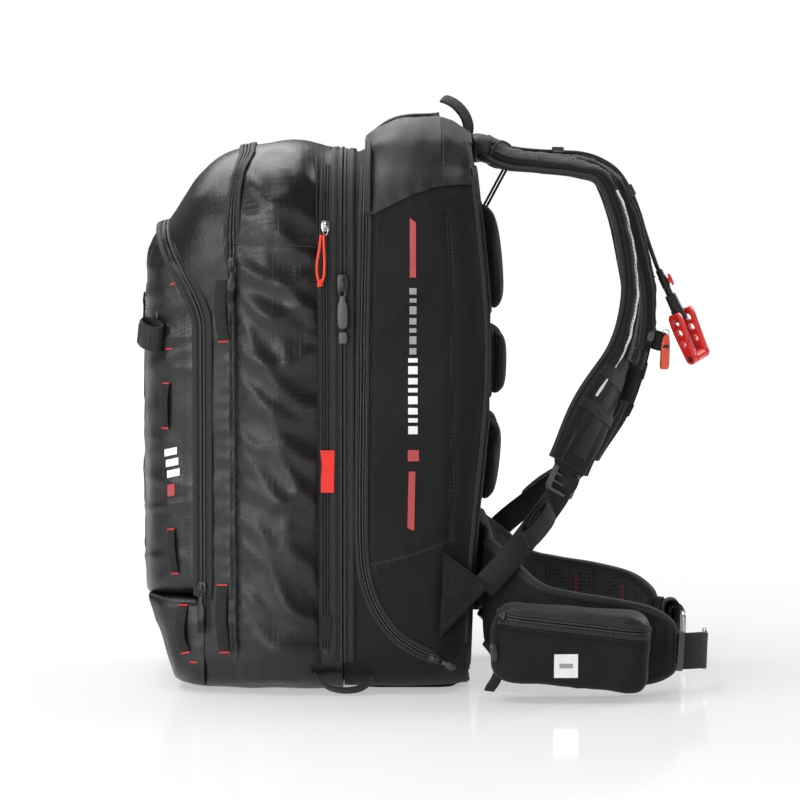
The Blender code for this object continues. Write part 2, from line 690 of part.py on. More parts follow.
def make_pouch():
    rings = [
        pouch_outline(y, grow)
        for y, grow in ((-0.1692, 0.985), (-0.180, 1.0), (-0.198, 0.99), (-0.207, 0.93), (-0.2115, 0.82))
    ]
    bm = bmesh.new()
    rows = [[bm.verts.new(point) for point in points] for points in rings]
    count = len(rows[0])
    for a, b in zip(rows, rows[1:]):
        for k in range(count):
            m = (k + 1) % count
            bm.faces.new((a[k], b[k], b[m], a[m]))
    bmesh.ops.poke(bm, faces=[bm.faces.new(rows[-1])])
    bmesh.ops.recalc_face_normals(bm, faces=bm.faces)
    made = add_mesh("hip_pouch", bm, COATED)
    shell = made.modifiers.new("thickness", "SOLIDIFY")
    shell.thickness = FABRIC
    shell.offset = -1


# ---------------------------------------------------------------- trigger
def trigger_frame():
    """Hub frame: X is the way the wings swing, Y the rivet, Z back up the cable."""
    up = -TRIGGER_PULL
    rivet = (RIVET_DIRECTION - RIVET_DIRECTION.dot(up) * up).normalized()
    swing = rivet.cross(up)
    place = Matrix.Translation(TRIGGER_HUB)
    for column, axis in enumerate((swing, rivet, up)):
        place.col[column].xyz = axis
    return place


def wing_outline():
    """Side view of a folded wing: round at the rivet, widening and slightly bowed to its tip."""
    steps = 6
    bow = 0.003

    def edge(side, share):
        half = mix(WING_HALF, WING_HALF * 1.12, share)
        return (bow * share * share + side * half, WING_LENGTH * share)

    base = [
        (WING_HALF * cos(pi + pi * k / 6), WING_HALF * sin(pi + pi * k / 6)) for k in range(1, 6)
    ]
    right = [edge(1, k / steps) for k in range(steps + 1)]
    left = [edge(-1, k / steps) for k in range(steps, -1, -1)]
    return base + right + left


def make_trigger(left_frames):
    place = trigger_frame()
    holes = [circle(0, 0, 0.0027), circle(0.0010, 0.0290, 0.0032), circle(0.0018, 0.0395, 0.0032)]
    for name, centre in (("handle_wing_near", -1), ("handle_wing_far", 1)):
        middle = centre * (WING_IN + WING_THICK / 2)
        lay = Matrix(((1, 0, 0, 0), (0, 0, -1, middle), (0, 1, 0, 0), (0, 0, 0, 1)))
        plate(name, [wing_outline()] + holes, WING_THICK, RED, place @ lay)
    across = place @ Matrix.Rotation(-pi / 2, 4, "X")
    turned("handle_rivet", rod_profile(0.0022, -0.0158, 0.0158), STEEL, across, steps=12)
    hub = tube_profile(0.0062, 0.0026, -0.0072, 0.0072)
    turned("handle_hub", hub, RED, across, closed=True, steps=16)
    turned("pull_wire", rod_profile(0.0012, 0.0068, 0.0985), STEEL, place, steps=8)
    guide = [
        (0.0038, 0.0980), (0.0038, 0.0905), (0.0043, 0.0900), (0.0043, 0.0780), (0.0038, 0.0775),
        (0.0038, 0.0700), (0.0060, 0.0690), (0.0064, 0.0530), (0.0070, 0.0520),
        (0.0070, 0.0400), (0.0020, 0.0400), (0.0020, 0.0980),
    ]
    turned("cable_guide", guide, PLASTIC, place, steps=12, closed=True)
    button = place @ Matrix.Translation((0.0, 0.0, 0.0840)) @ Matrix.Rotation(radians(-48), 4, "Z")
    outward = button @ Matrix.Rotation(radians(-90), 4, "X")
    turned("lock_button", rod_profile(0.0042, 0.0058, 0.0088), RED, outward, steps=12)

    inner_path = [
        BOTTLE + Vector((0.0, 0.0, 0.3000)), BOTTLE + Vector((0.004, -0.001, 0.318)), (0.030, 0.066, 0.345),
        (0.040, 0.058, 0.400), (0.042, 0.050, 0.460), (0.041, 0.046, 0.505), (0.048, 0.0445, 0.5325),
        (0.0600, 0.0445, 0.5390), (0.0702, 0.0448, 0.5450),
    ]
    cable("trigger_cable_inner", curve_through(inner_path, 3), 0.0022, PLASTIC)
    outer = []
    for k, (point, _, normal) in enumerate(left_frames):
        if point.z < 0.430:
            break
        share = k / (len(left_frames) - 1)
        outer.append(point + normal * (strap_half_thick(share) + 0.0030))
    guide_top = place @ Vector((0, 0, 0.0990))
    outer.append(guide_top - TRIGGER_PULL * 0.006)
    outer.append(guide_top)
    cable("trigger_cable_strap", curve_through(outer, 2), 0.0022, PLASTIC)


def make_whistle():
    top = Vector((0.2685, 0.066, 0.3440))
    body = [
        (0.0, 0.0), (0.0036, -0.002), (0.0040, -0.006), (0.0040, -0.034), (0.0025, -0.036),
        (0.0, -0.036),
    ]
    turned("whistle", body, CORD, Matrix.Translation(top), steps=10)


# ---------------------------------------------------------------- zip sliders and pulls
def make_sliders():
    side_y = -0.1570
    slider_face = side_y - 0.0045
    box("full_zip_slider", (-0.070, slider_face, 0.398), (-0.058, side_y, 0.412), PLASTIC, 0.001, 1)
    pull_low = (-0.069, slider_face - 0.0035, 0.356)
    box("full_zip_pull", pull_low, (-0.059, slider_face - 0.0007, 0.3975), PLASTIC, 0.001, 1)
    box("side_zip_slider", (-0.0885, -0.1640, 0.4530), (-0.0785, -0.1595, 0.4660), PLASTIC, 0.001, 1)
    loop = [
        (-0.0850, -0.1650, 0.4520), (-0.0862, -0.1652, 0.440), (-0.0888, -0.1652, 0.424),
        (-0.0885, -0.1652, 0.412), (-0.0858, -0.1652, 0.4050), (-0.0825, -0.1652, 0.410),
        (-0.0815, -0.1652, 0.424), (-0.0820, -0.1652, 0.440), (-0.0822, -0.1650, 0.4520),
    ]
    cable("side_zip_cord", curve_through(loop, 4), 0.0012, CORD)
    box("tool_zip_slider", (-0.2045, -0.1505, 0.100), (-0.1945, -0.1465, 0.113), PLASTIC, 0.001, 1)
    box("pouch_zip_slider", (0.0840, -0.2150, 0.0790), (0.0970, -0.2120, 0.0880), PLASTIC, 0.0008, 1)
    box("d_zip_slider", (0.0200, -0.1620, 0.0480), (0.0330, -0.1580, 0.0570), PLASTIC, 0.001, 1)


def make_pivots():
    """An empty on each joint's axis, holding the parts that turn or slide with it."""
    for joint, (point, parts) in PIVOTS.items():
        pivot = bpy.data.objects.new(joint + "_pivot", None)
        pivot.location = point
        pivot.empty_display_size = 0.02
        collection_named(COLLECTION).objects.link(pivot)
        for name in parts:
            piece = bpy.data.objects[name]
            piece.parent = pivot
            piece.matrix_parent_inverse = Matrix.Translation(-Vector(point))


def main():
    clear_scene()
    make_front_bag()
    make_zip_tape()
    make_ski_loops()
    make_tool_pocket()
    make_airbag_half()
    make_hood()
    make_back()
    make_airbag_system()
    for hand, sign, points in (("right", -1, RIGHT_STRAP), ("left", 1, LEFT_STRAP)):
        make_shoulder_strap(hand, sign, points)
        make_sternum_slider(hand, sign, points)
    make_hip_belt()
    make_pouch()
    make_trigger(strap_frames(LEFT_STRAP, 1))
    make_whistle()
    make_sliders()
    make_pivots()


main()
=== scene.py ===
"""Looks of the avalanche airbag backpack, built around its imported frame. Metres, +Z up, +X towards
the wearer, +Y to the wearer's left; the camera looks at the wearer's right side."""

import json
import math
from math import cos, pi, radians, sin

import bmesh
import bpy
import numpy as np
from mathutils import Matrix, Vector, noise
from mathutils.bvhtree import BVHTree

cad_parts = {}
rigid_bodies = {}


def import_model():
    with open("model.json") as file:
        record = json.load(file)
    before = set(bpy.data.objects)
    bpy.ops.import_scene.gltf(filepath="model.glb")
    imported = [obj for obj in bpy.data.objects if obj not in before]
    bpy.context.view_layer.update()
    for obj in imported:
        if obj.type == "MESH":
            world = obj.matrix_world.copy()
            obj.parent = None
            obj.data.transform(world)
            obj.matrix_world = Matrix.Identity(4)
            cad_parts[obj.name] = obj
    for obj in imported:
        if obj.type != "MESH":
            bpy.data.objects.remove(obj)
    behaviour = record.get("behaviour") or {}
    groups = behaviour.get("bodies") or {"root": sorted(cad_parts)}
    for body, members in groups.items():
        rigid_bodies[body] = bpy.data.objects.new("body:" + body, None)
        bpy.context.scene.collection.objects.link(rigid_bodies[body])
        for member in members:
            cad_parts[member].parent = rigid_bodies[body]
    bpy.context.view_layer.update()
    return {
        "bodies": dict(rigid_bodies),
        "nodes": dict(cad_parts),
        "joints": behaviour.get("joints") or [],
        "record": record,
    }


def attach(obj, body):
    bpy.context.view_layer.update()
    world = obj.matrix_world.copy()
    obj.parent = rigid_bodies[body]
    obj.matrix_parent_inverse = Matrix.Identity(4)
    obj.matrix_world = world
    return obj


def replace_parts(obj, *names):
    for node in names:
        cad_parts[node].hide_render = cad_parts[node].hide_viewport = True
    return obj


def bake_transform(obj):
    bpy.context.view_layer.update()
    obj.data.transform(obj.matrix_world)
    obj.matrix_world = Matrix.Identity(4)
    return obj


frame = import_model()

ZIP_X = -0.064  # plane of the full-length zip
UP = Vector((0, 0, 1))
OUTSIDE = 0.6  # a ray towards the bag starts this far from its middle plane
SIDES = (("right", -1), ("left", 1))  # the wearer's sides, with the sign of their y


# ---------------------------------------------------------------- camera, light and floor
def make_stage():
    """Camera, white floor, world light and lamps, matched to the photograph."""
    camera_data = bpy.data.cameras.new("camera")
    camera_data.lens = 158.8
    camera_data.sensor_width = 36
    camera_data.clip_end = 30
    camera = bpy.data.objects.new("camera", camera_data)
    camera.location = (-0.008, -3.6, 0.515)
    camera.rotation_euler = (radians(90 - 3.73), 0, 0)
    bpy.context.scene.collection.objects.link(camera)
    bpy.context.scene.camera = camera

    floor_mesh = bpy.data.meshes.new("floor")
    reach = 9.0
    floor_mesh.from_pydata(
        [(-reach, -reach, 0), (reach, -reach, 0), (reach, reach, 0), (-reach, reach, 0)],
        [], [(0, 1, 2, 3)])
    floor = bpy.data.objects.new("floor", floor_mesh)
    floor.location.z = -0.0006
    bpy.context.scene.collection.objects.link(floor)
    shade = Shade("floor_white")
    far = shade.node("ShaderNodeVectorMath", (shade.place(),), operation="LENGTH")
    near, beyond = 0.35, 1.7  # the floor fades to white between these distances
    glow, pale = (
        shade.node("ShaderNodeMapRange", (far.outputs[1], near, beyond, *values),
                   interpolation_type="SMOOTHSTEP")
        for values in ((0.40, 1.0), (0.58, 0.0)))
    shade.set("Base Color", shade.node("ShaderNodeCombineColor", [pale.outputs[0]] * 3).outputs[0])
    shade.set("Emission Color", (1, 1, 1, 1)).set("Emission Strength", glow.outputs[0])
    shade.set("Roughness", 0.10).set("Specular IOR Level", 0.5)
    floor_mesh.materials.append(shade.material)

    world = bpy.data.worlds.new("studio")
    world.use_nodes = True
    tree = world.node_tree
    sky = tree.nodes["Background"]
    sky.inputs[0].default_value = (1, 1, 1, 1)
    seen = tree.nodes.new("ShaderNodeLightPath")
    bright = tree.nodes.new("ShaderNodeMapRange")
    bright.inputs[3].default_value, bright.inputs[4].default_value = 0.20, 1.0
    tree.links.new(seen.outputs["Is Camera Ray"], bright.inputs[0])
    tree.links.new(bright.outputs[0], sky.inputs[1])
    bpy.context.scene.world = world
    bpy.context.scene.view_settings.view_transform = "Standard"
    lamps = (
        ("key", (-0.9, -0.5, 2.4), (-0.08, 0, 0.25), 1.5, 40),
        ("edge", (-2.0, -1.5, 0.9), (-0.1, -0.1, 0.28), 0.7, 15),
        ("front", (-1.15, -2.9, 0.85), (-0.1, 0, 0.28), 1.0, 40),
        ("crown", (-0.6, 0.9, 2.1), (-0.1, 0, 0.50), 1.9, 46),
        ("back", (2.2, 1.2, 1.8), (0.1, 0, 0.2), 1.6, 40),
    )
    for name, place, aim, size, power in lamps:
        lamp_data = bpy.data.lights.new(name, "AREA")
        lamp_data.size = size
        lamp_data.energy = power
        lamp = bpy.data.objects.new(name, lamp_data)
        lamp.location = place
        lamp.rotation_euler = (Vector(aim) - Vector(place)).to_track_quat("-Z", "Y").to_euler()
        bpy.context.scene.collection.objects.link(lamp)


# ---------------------------------------------------------------- materials
def tint(colour, share):
    """A colour made darker or lighter."""
    return tuple(c * share for c in colour)


class Shade:
    """A Principled material, with short names for the node work."""

    def __init__(self, name):
        self.material = bpy.data.materials.new(name)
        self.material.use_nodes = True
        self.tree = self.material.node_tree
        self.shader = self.tree.nodes["Principled BSDF"]

    def set(self, socket, value):
        if isinstance(value, bpy.types.NodeSocket):
            self.tree.links.new(value, self.shader.inputs[socket])
        else:
            self.shader.inputs[socket].default_value = value
        return self

    def node(self, kind, values=(), **settings):
        made = self.tree.nodes.new(kind)
        for key, value in settings.items():
            setattr(made, key, value)
        for index, value in enumerate(values):
            if value is None:
                continue
            if isinstance(value, bpy.types.NodeSocket):
                self.tree.links.new(value, made.inputs[index])
            else:
                made.inputs[index].default_value = value
        return made

    def math(self, operation, *values):
        return self.node("ShaderNodeMath", values, operation=operation).outputs[0]

    def sum(self, first, share, second, rest):
        """first times share, plus second times rest."""
        return self.math("ADD", self.math("MULTIPLY", first, share), self.math("MULTIPLY", second, rest))

    def noise(self, coordinates, scale, detail=3, rough=0.55, distortion=0.0):
        made = self.node("ShaderNodeTexNoise")
        made.inputs["Scale"].default_value = scale
        made.inputs["Detail"].default_value = detail
        made.inputs["Roughness"].default_value = rough
        made.inputs["Distortion"].default_value = distortion
        self.tree.links.new(coordinates, made.inputs["Vector"])
        return made.outputs["Fac"]

    def ramp(self, value, low, high, out_low, out_high):
        made = self.node("ShaderNodeMapRange", (value, low, high, out_low, out_high))
        return made.outputs[0]

    def colour_ramp(self, value, first, second):
        made = self.node("ShaderNodeMix", data_type="RGBA")
        self.tree.links.new(value, made.inputs[0])
        made.inputs[6].default_value = (*first, 1)
        made.inputs[7].default_value = (*second, 1)
        return made.outputs[2]

    def bump(self, height, distance, strength=1.0, base=None):
        made = self.node("ShaderNodeBump")
        made.inputs["Strength"].default_value = strength
        made.inputs["Distance"].default_value = distance
        self.tree.links.new(height, made.inputs["Height"])
        if base is not None:
            self.tree.links.new(base, made.inputs["Normal"])
        return made.outputs[0]

    def uv(self):
        made = self.node("ShaderNodeUVMap", uv_map="uv")
        split = self.node("ShaderNodeSeparateXYZ", (made.outputs[0],))
        return made.outputs[0], split.outputs[0], split.outputs[1]

    def place(self):
        return self.node("ShaderNodeTexCoord").outputs["Object"]

    def wave(self, value, period):
        """0 to 1, one hump for each period."""
        turned = self.math("SINE", self.math("MULTIPLY", value, 2 * pi / period))
        return self.ramp(turned, -1, 1, 0, 1)

    def weave(self, u, v, period=0.0009):
        """Plain weave: threads both ways."""
        return self.math("MULTIPLY", self.wave(u, period), self.wave(v, period))

    def lines(self, value, period, width):
        """1 on thin lines, one for each period."""
        share = self.math("PINGPONG", value, period / 2)
        return self.ramp(share, 0, width, 1, 0)


def ripstop(name, colour, rough, grid=0.0052, sheen=0.0, coat=0.0, crease=0.0, gloss=0.5):
    """Ripstop cloth: fine weave, a grid of doubled threads, and soft creases."""
    s = Shade(name)
    flat, u, v = s.uv()
    threads = s.math("MAXIMUM", s.lines(u, grid, 0.00045), s.lines(v, grid, 0.00045))
    weave = s.weave(u, v)
    patch = s.noise(flat, 34, 4)
    wear = s.noise(s.place(), 9, 5, 0.65)
    tone = s.sum(threads, 0.35, patch, 0.45)
    dark = tint(colour, 0.72)
    light = tint(colour, 1.55)
    s.set("Base Color", s.colour_ramp(tone, dark, light))
    s.set("Roughness", s.ramp(wear, 0.3, 0.75, rough - 0.07, rough + 0.1))
    s.set("Sheen Weight", sheen).set("Sheen Roughness", 0.45).set("Specular IOR Level", gloss)
    s.set("Coat Weight", coat).set("Coat Roughness", 0.34)
    height = s.sum(threads, 0.6, weave, 0.4)
    fine = s.bump(height, 0.00022, 0.5)
    if crease:
        soft = s.noise(s.place(), 26, 2, 0.45, 0.8)
        fine = s.bump(soft, crease, 0.7, fine)
    s.set("Normal", fine)
    return s.material


def woven(name, colour, rough=0.72, rib=0.0016, across=0.0022, depth=0.00035, sheen=0.06):
    """Webbing and binding: ribs across the strip, thread columns along it."""
    s = Shade(name)
    flat, u, v = s.uv()
    ribs = s.wave(u, rib)
    columns = s.wave(v, across)
    fuzz = s.noise(flat, 900, 2)
    height = s.sum(ribs, 0.55, columns, 0.45)
    tone = s.sum(height, 0.6, fuzz, 0.4)
    s.set("Base Color", s.colour_ramp(tone, tint(colour, 0.65), tint(colour, 1.4)))
    s.set("Roughness", rough).set("Sheen Weight", sheen).set("Sheen Roughness", 0.5)
    s.set("Specular IOR Level", 0.3)
    s.set("Normal", s.bump(height, depth, 0.8))
    return s.material


def spacer(name, colour, cell=0.0042, depth=0.0009):
    """Spacer mesh: rows of small round openings between knitted threads, painted dark as the shade inside
    them.
    """
    s = Shade(name)
    place = s.place()
    holes = s.node("ShaderNodeTexVoronoi", distance="EUCLIDEAN", feature="F1")
    s.tree.links.new(place, holes.inputs["Vector"])
    holes.inputs["Scale"].default_value = 1 / cell
    holes.inputs["Randomness"].default_value = 0.22
    deep = s.ramp(holes.outputs["Distance"], 0.12, 0.42, 0, 1)
    fuzz = s.noise(place, 1300, 2)
    # The openings get a fifth of the colour: painted shade in the holes.
    tone = s.sum(deep, 0.75, fuzz, 0.25)
    s.set("Base Color", s.colour_ramp(tone, tint(colour, 0.2), tint(colour, 1.25)))
    s.set("Roughness", 0.85).set("Sheen Weight", 0.10).set("Sheen Roughness", 0.5)
    s.set("Specular IOR Level", 0.25)
    s.set("Normal", s.bump(deep, depth, 0.9))
    return s.material


def moulded(name, colour, rough=0.4, grain=0.00006, scuff=0.12, **extra):
    """Moulded plastic or rubber with a fine grain and lightly scuffed faces."""
    s = Shade(name)
    place = s.place()
    spots = s.noise(place, 1800, 2)
    wear = s.noise(place, 60, 5, 0.7)
    s.set("Base Color", s.colour_ramp(s.ramp(wear, 0.35, 0.8, 0, 1), colour, tint(colour, 1.3)))
    s.set("Roughness", s.ramp(wear, 0.3, 0.75, rough - scuff / 2, rough + scuff))
    s.set("Normal", s.bump(spots, grain, 0.5))
    for key, value in extra.items():
        s.set(key.replace("_", " "), value)
    return s.material


def metal(name, colour, rough=0.3, streak=(1, 1, 30)):
    """Metal with fine streaks from brushing."""
    s = Shade(name)
    spread = s.node("ShaderNodeMapping", (s.place(),))
    spread.inputs["Scale"].default_value = streak
    brushed = s.noise(spread.outputs[0], 90, 4)
    s.set("Base Color", s.colour_ramp(brushed, tint(colour, 0.85), colour))
    s.set("Metallic", 1.0).set("Roughness", s.ramp(brushed, 0.2, 0.8, rough - 0.08, rough + 0.12))
    s.set("Normal", s.bump(brushed, 0.00004, 0.5))
    return s.material


def print_ink(name, colour):
    """Screen print: a thin rubbery film that still shows the cloth under it."""
    s = Shade(name)
    _, u, v = s.uv()
    cloth = s.weave(u, v)
    fade = s.noise(s.place(), 120, 4)
    s.set("Base Color", s.colour_ramp(fade, tint(colour, 0.85), colour))
    s.set("Roughness", 0.5).set("Normal", s.bump(cloth, 0.00012, 0.5))
    return s.material


LOOK = {
    "coated": ripstop("coated_ripstop_cloth", (0.0062, 0.0062, 0.0068), 0.34, crease=0.0010, gloss=0.42),
    "matte": ripstop("matte_ripstop_cloth", (0.0062, 0.0060, 0.0068), 0.72, 0.0036, 0.05, 0, 0.0006, 0.22),
    # The hood cloth is the matte cloth made a little lighter: painted top light, as the hood faces the
    # overhead lamps. Its gloss and roughness are its own.
    "hood": ripstop("hood_cloth_painted_top_light", (0.0080, 0.0078, 0.0090), 0.52, 0.003, 0.05, 0, 0.0010, 0.45),
    "lining": ripstop("lining_cloth", (0.10, 0.10, 0.11), 0.6, 0.004),
    "web": woven("webbing_weave", (0.0085, 0.0085, 0.009)),
    "binding": woven("binding_weave", (0.0125, 0.012, 0.0115), 0.62, 0.0022, 0.0018, 0.0004),
    "tape": woven("zip_tape_weave", (0.0095, 0.009, 0.009), 0.6, 0.0009, 0.0011, 0.0002),
    "coil": moulded("zip_coil", (0.006, 0.006, 0.006), 0.42),
    "mesh": spacer("spacer_mesh_cloth", (0.030, 0.030, 0.034)),
    "pad": spacer("pad_mesh_cloth", (0.0085, 0.0085, 0.009), 0.0034, 0.0007),
    "foam": moulded("foam_edge", (0.008, 0.008, 0.0085), 0.8, 0.0002),
    "plastic": moulded("black_acetal_moulded", (0.012, 0.012, 0.013), 0.36),
    "grey": moulded("grey_acetal_moulded", (0.055, 0.055, 0.058), 0.42),
    "rubber": moulded("cable_sleeve_rubber", (0.014, 0.014, 0.015), 0.5),
    "red": moulded("red_nylon_moulded", (0.72, 0.022, 0.018), 0.27, Coat_Weight=0.4),
    "orange": moulded("orange_moulded", (0.80, 0.085, 0.035), 0.34, Coat_Weight=0.3),
    "cord": woven("cord_braid", (0.80, 0.055, 0.022), 0.6, 0.0012, 0.0013, 0.0003),
    "thread": moulded("grey_thread", (0.026, 0.026, 0.028), 0.6),
    "red_thread": moulded("red_thread", (0.62, 0.02, 0.025), 0.55),
    "red_tab": woven("red_tab_weave", (0.72, 0.028, 0.02), 0.55, 0.0010, 0.0012, 0.0002),
    "steel": metal("brushed_steel", (0.55, 0.56, 0.58)),
    "chrome": metal("bright_steel", (0.42, 0.42, 0.43), 0.26),
    "alloy": metal("anodised_alloy_brushed", (0.60, 0.61, 0.64), 0.34),
    "reflective": moulded("reflective_piping", (0.62, 0.62, 0.64), 0.34),
    "white_ink": print_ink("white_print", (0.80, 0.80, 0.80)),
    "red_ink": print_ink("red_print", (0.42, 0.045, 0.045)),
    "grey_ink": print_ink("grey_print", (0.30, 0.30, 0.31)),
    "sheet": moulded("polyethylene", (0.03, 0.03, 0.03), 0.5),
    "bladder": ripstop("airbag_nylon_cloth", (0.70, 0.10, 0.03), 0.6, 0.004, sheen=0.3, crease=0.002),
}


# ---------------------------------------------------------------- geometry helpers
def mix(a, b, t):
    """From a at t = 0 to b at t = 1."""
    return a + (b - a) * t


def smooth(t):
    """0 to 1 with soft ends, for a single number."""
    t = min(max(t, 0.0), 1.0)
    return t * t * (3 - 2 * t)


def set_smooth(mesh, sharp=40):
    """Smooth shading, with edges over the angle (degrees) kept sharp."""
    mesh.shade_smooth()
    mesh.set_sharp_from_angle(angle=radians(sharp))


def lengths(points):
    """Distance along a path at each of its points."""
    far = [0.0]
    for a, b in zip(points, points[1:]):
        far.append(far[-1] + (b - a).length)
    return far


def catmull(values, t):
    """Smooth value at t, counted in steps between the given ones."""
    last = len(values) - 1
    k = min(int(t), last - 1)
    f = t - k
    b, c = values[k], values[k + 1]
    a = values[k - 1] if k > 0 else 2 * b - c
    d = values[k + 2] if k + 2 <= last else 2 * c - b
    return 0.5 * (2 * b + (c - a) * f + (2 * a - 5 * b + 4 * c - d) * f * f
                  + (3 * b - a - 3 * c + d) * f**3)


def at_station(stations, t):
    """All the values of a table of stations, at t counted in stations."""
    return [catmull([station[i] for station in stations], t) for i in range(len(stations[0]))]


def resample(points, step, smoothly=True):
    """Points an even step apart along a smooth path through the given ones."""
    points = [Vector(p) for p in points]
    if smoothly:
        fine = []
        for k in range(len(points) - 1):
            fine += [catmull(points, k + j / 12) for j in range(12)]
        fine.append(points[-1])
    else:
        fine = points
    far = lengths(fine)
    count = max(2, round(far[-1] / step) + 1)
    found, k = [], 0
    for j in range(count):
        s = far[-1] * j / (count - 1)
        while k < len(far) - 2 and far[k + 1] < s:
            k += 1
        span = far[k + 1] - far[k]
        found.append(fine[k].lerp(fine[k + 1], (s - far[k]) / span if span else 0))
    return found


def frames_by_normal(points, normals):
    """(point, width direction, normal) along a path that lies on a surface."""
    last = len(points) - 1
    found = []
    for k, (point, normal) in enumerate(zip(points, normals)):
        tangent = (points[min(k + 1, last)] - points[max(k - 1, 0)]).normalized()
        width = tangent.cross(normal).normalized()
        found.append((point, width, width.cross(tangent).normalized()))
    return found


def frames_by_side(points, side, twists=None):
    """The same for a free strip, kept level with a side direction and twisted by degrees."""
    last = len(points) - 1
    side = Vector(side)
    found = []
    for k, point in enumerate(points):
        tangent = (points[min(k + 1, last)] - points[max(k - 1, 0)]).normalized()
        flat = (side - side.dot(tangent) * tangent).normalized()
        lift = tangent.cross(flat)
        turn = radians(twists[k]) if twists else 0.0
        width = cos(turn) * flat + sin(turn) * lift
        found.append((point, width, tangent.cross(width)))
    return found


def shifted(frames, across=0.0, lift=0.0):
    """The same frames, moved sideways and up."""
    return [(p + w * across + n * lift, w, n) for p, w, n in frames]


def strip(width, thick, round_steps=3):
    """Outline of a flat strip with round edges."""
    r = thick / 2
    half = width / 2 - r
    turns = [-pi / 2 + pi * k / round_steps for k in range(round_steps + 1)]
    right = [(half + r * cos(t), r * sin(t)) for t in turns]
    return right + [(-a, -b) for a, b in right]


def disc(radius, count=10):
    """Outline of a round rod."""
    return [(radius * cos(2 * pi * k / count), radius * sin(2 * pi * k / count)) for k in range(count)]


def super_oval(half_a, half_b, power=2.6, count=28):
    """Outline between an ellipse (power 2) and a rectangle (high power)."""
    found = []
    for k in range(count):
        c, s = cos(2 * pi * k / count), sin(2 * pi * k / count)
        found.append((half_a * math.copysign(abs(c) ** (2 / power), c),
                      half_b * math.copysign(abs(s) ** (2 / power), s)))
    return found


def lay(frame, flat):
    """An outline's points, set on one (point, width, normal) frame."""
    point, width, normal = frame
    return [point + width * a + normal * b for a, b in flat]


def placed(frames, outline):
    """The outline, or one for each frame, set on the frames."""
    many = isinstance(outline[0][0], (tuple, list))
    return [lay(each, outline[k] if many else outline) for k, each in enumerate(frames)]


def carried(path, spots, normals):
    """For each point of a path, the normal at the nearest of the spots that it was made from."""
    found, k = [], 0
    for p in path:
        while k < len(spots) - 1 and (spots[k + 1] - p).length < (spots[k] - p).length:
            k += 1
        found.append(normals[k])
    return found


class Piece:
    """Collects sweeps into one named mesh with its looks."""

    def __init__(self, name, body, main):
        self.name, self.body, self.main = name, body, main
        self.bm = bmesh.new()
        self.uv = self.bm.loops.layers.uv.new("uv")
        self.looks = [main]

    def index(self, look):
        if look not in self.looks:
            self.looks.append(look)
        return self.looks.index(look)

    def sweep(self, rows, look=None, closed=True, caps=True, round_trip=False):
        """A skin through the rows; closed joins each row's ends, caps fill the first and last row."""
        index = self.index(look or self.main)
        verts = [[self.bm.verts.new(p) for p in row] for row in rows]
        count = len(rows[0])
        around = [0.0]
        widest = max(rows, key=lambda row: (row[0] - row[count // 2]).length)
        for k in range(count):
            around.append(around[-1] + (widest[(k + 1) % count] - widest[k]).length)
        along = [0.0]
        for a, b in zip(rows, rows[1:]):
            along.append(along[-1] + sum((q - p).length for p, q in zip(a, b)) / count)
        pairs = list(range(len(rows) - 1)) + ([len(rows) - 1] if round_trip else [])
        for i in pairs:
            j = (i + 1) % len(rows)
            u1 = along[j] if j else along[-1] + (along[1] - along[0])
            for k in range(count if closed else count - 1):
                m = (k + 1) % count
                face = self.bm.faces.new((verts[i][k], verts[i][m], verts[j][m], verts[j][k]))
                face.material_index = index
                u0, v0, v1 = along[i], around[k], around[k + 1]
                spots = ((u0, v0), (u0, v1), (u1, v1), (u1, v0))
                for loop, spot in zip(face.loops, spots):
                    loop[self.uv].uv = spot
        if closed and caps and not round_trip:
            for row, flip in ((verts[0], True), (verts[-1], False)):
                face = self.bm.faces.new(row[::-1] if flip else row)
                face.material_index = index
        return verts

    def rod(self, points, side, flat, look=None, step=None):
        """Sweeps an outline along a free path, level with the side direction; step evens the path out."""
        path = resample(points, step) if step else points
        self.sweep(placed(frames_by_side(path, side), flat), look)

    def stitches(self, frames, across=0.0, lift=0.0003, pitch=0.0042, length=0.0029, thick=0.00032,
                 look="thread"):
        """A row of thread stitches along the frames."""
        run = [p + w * across + n * lift for p, w, n in frames]
        ups = [n for _, _, n in frames]
        sides = [w for _, w, _ in frames]
        s, k, far = 0.0, 0, lengths(run)

        def at(s):
            nonlocal k
            while k < len(far) - 2 and far[k + 1] < s:
                k += 1
            f = (s - far[k]) / max(far[k + 1] - far[k], 1e-9)
            return run[k].lerp(run[k + 1], f), sides[k], ups[k]

        while s + length < far[-1]:
            rows = []
            for share, scale in ((0.0, 0.5), (0.5, 1.0), (1.0, 0.5)):
                p, w, n = at(s + share * length)
                sink = thick * (0.7 if share != 0.5 else 0.0)
                rows.append([p + w * a * scale + n * (b * scale - sink) for a, b in disc(thick, 4)])
            self.sweep(rows, look)
            s += pitch

    def bartack(self, frame, width, look="red_thread", rows=2, gap=0.0008, thick=0.00036):
        """A dense bar of zigzag stitches across a strip."""
        point, across, normal = frame
        along = normal.cross(across).normalized()
        for r in range(rows):
            base = point + along * (r - (rows - 1) / 2) * gap + normal * (0.0001 + 0.00008 * (r % 2))
            line = [base + across * mix(-width / 2, width / 2, k / 4) for k in range(5)]
            self.sweep(placed(frames_by_normal(line, [normal] * 5), disc(thick, 5)), look)

    def finish(self, subdivide=0, ride=True, weld=False):
        """Makes the object; weld joins the points of rows that meet."""
        if weld:
            bmesh.ops.remove_doubles(self.bm, verts=self.bm.verts, dist=1e-6)
        bmesh.ops.recalc_face_normals(self.bm, faces=self.bm.faces)
        mesh = bpy.data.meshes.new(self.name)
        self.bm.to_mesh(mesh)
        self.bm.free()
        for look in self.looks:
            mesh.materials.append(LOOK[look])
        set_smooth(mesh)
        made = bpy.data.objects.new(self.name, mesh)
        bpy.context.scene.collection.objects.link(made)
        if subdivide:
            made.modifiers.new("round", "SUBSURF").levels = subdivide
            made.modifiers["round"].render_levels = subdivide
        if ride:
            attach(made, self.body)
        return made


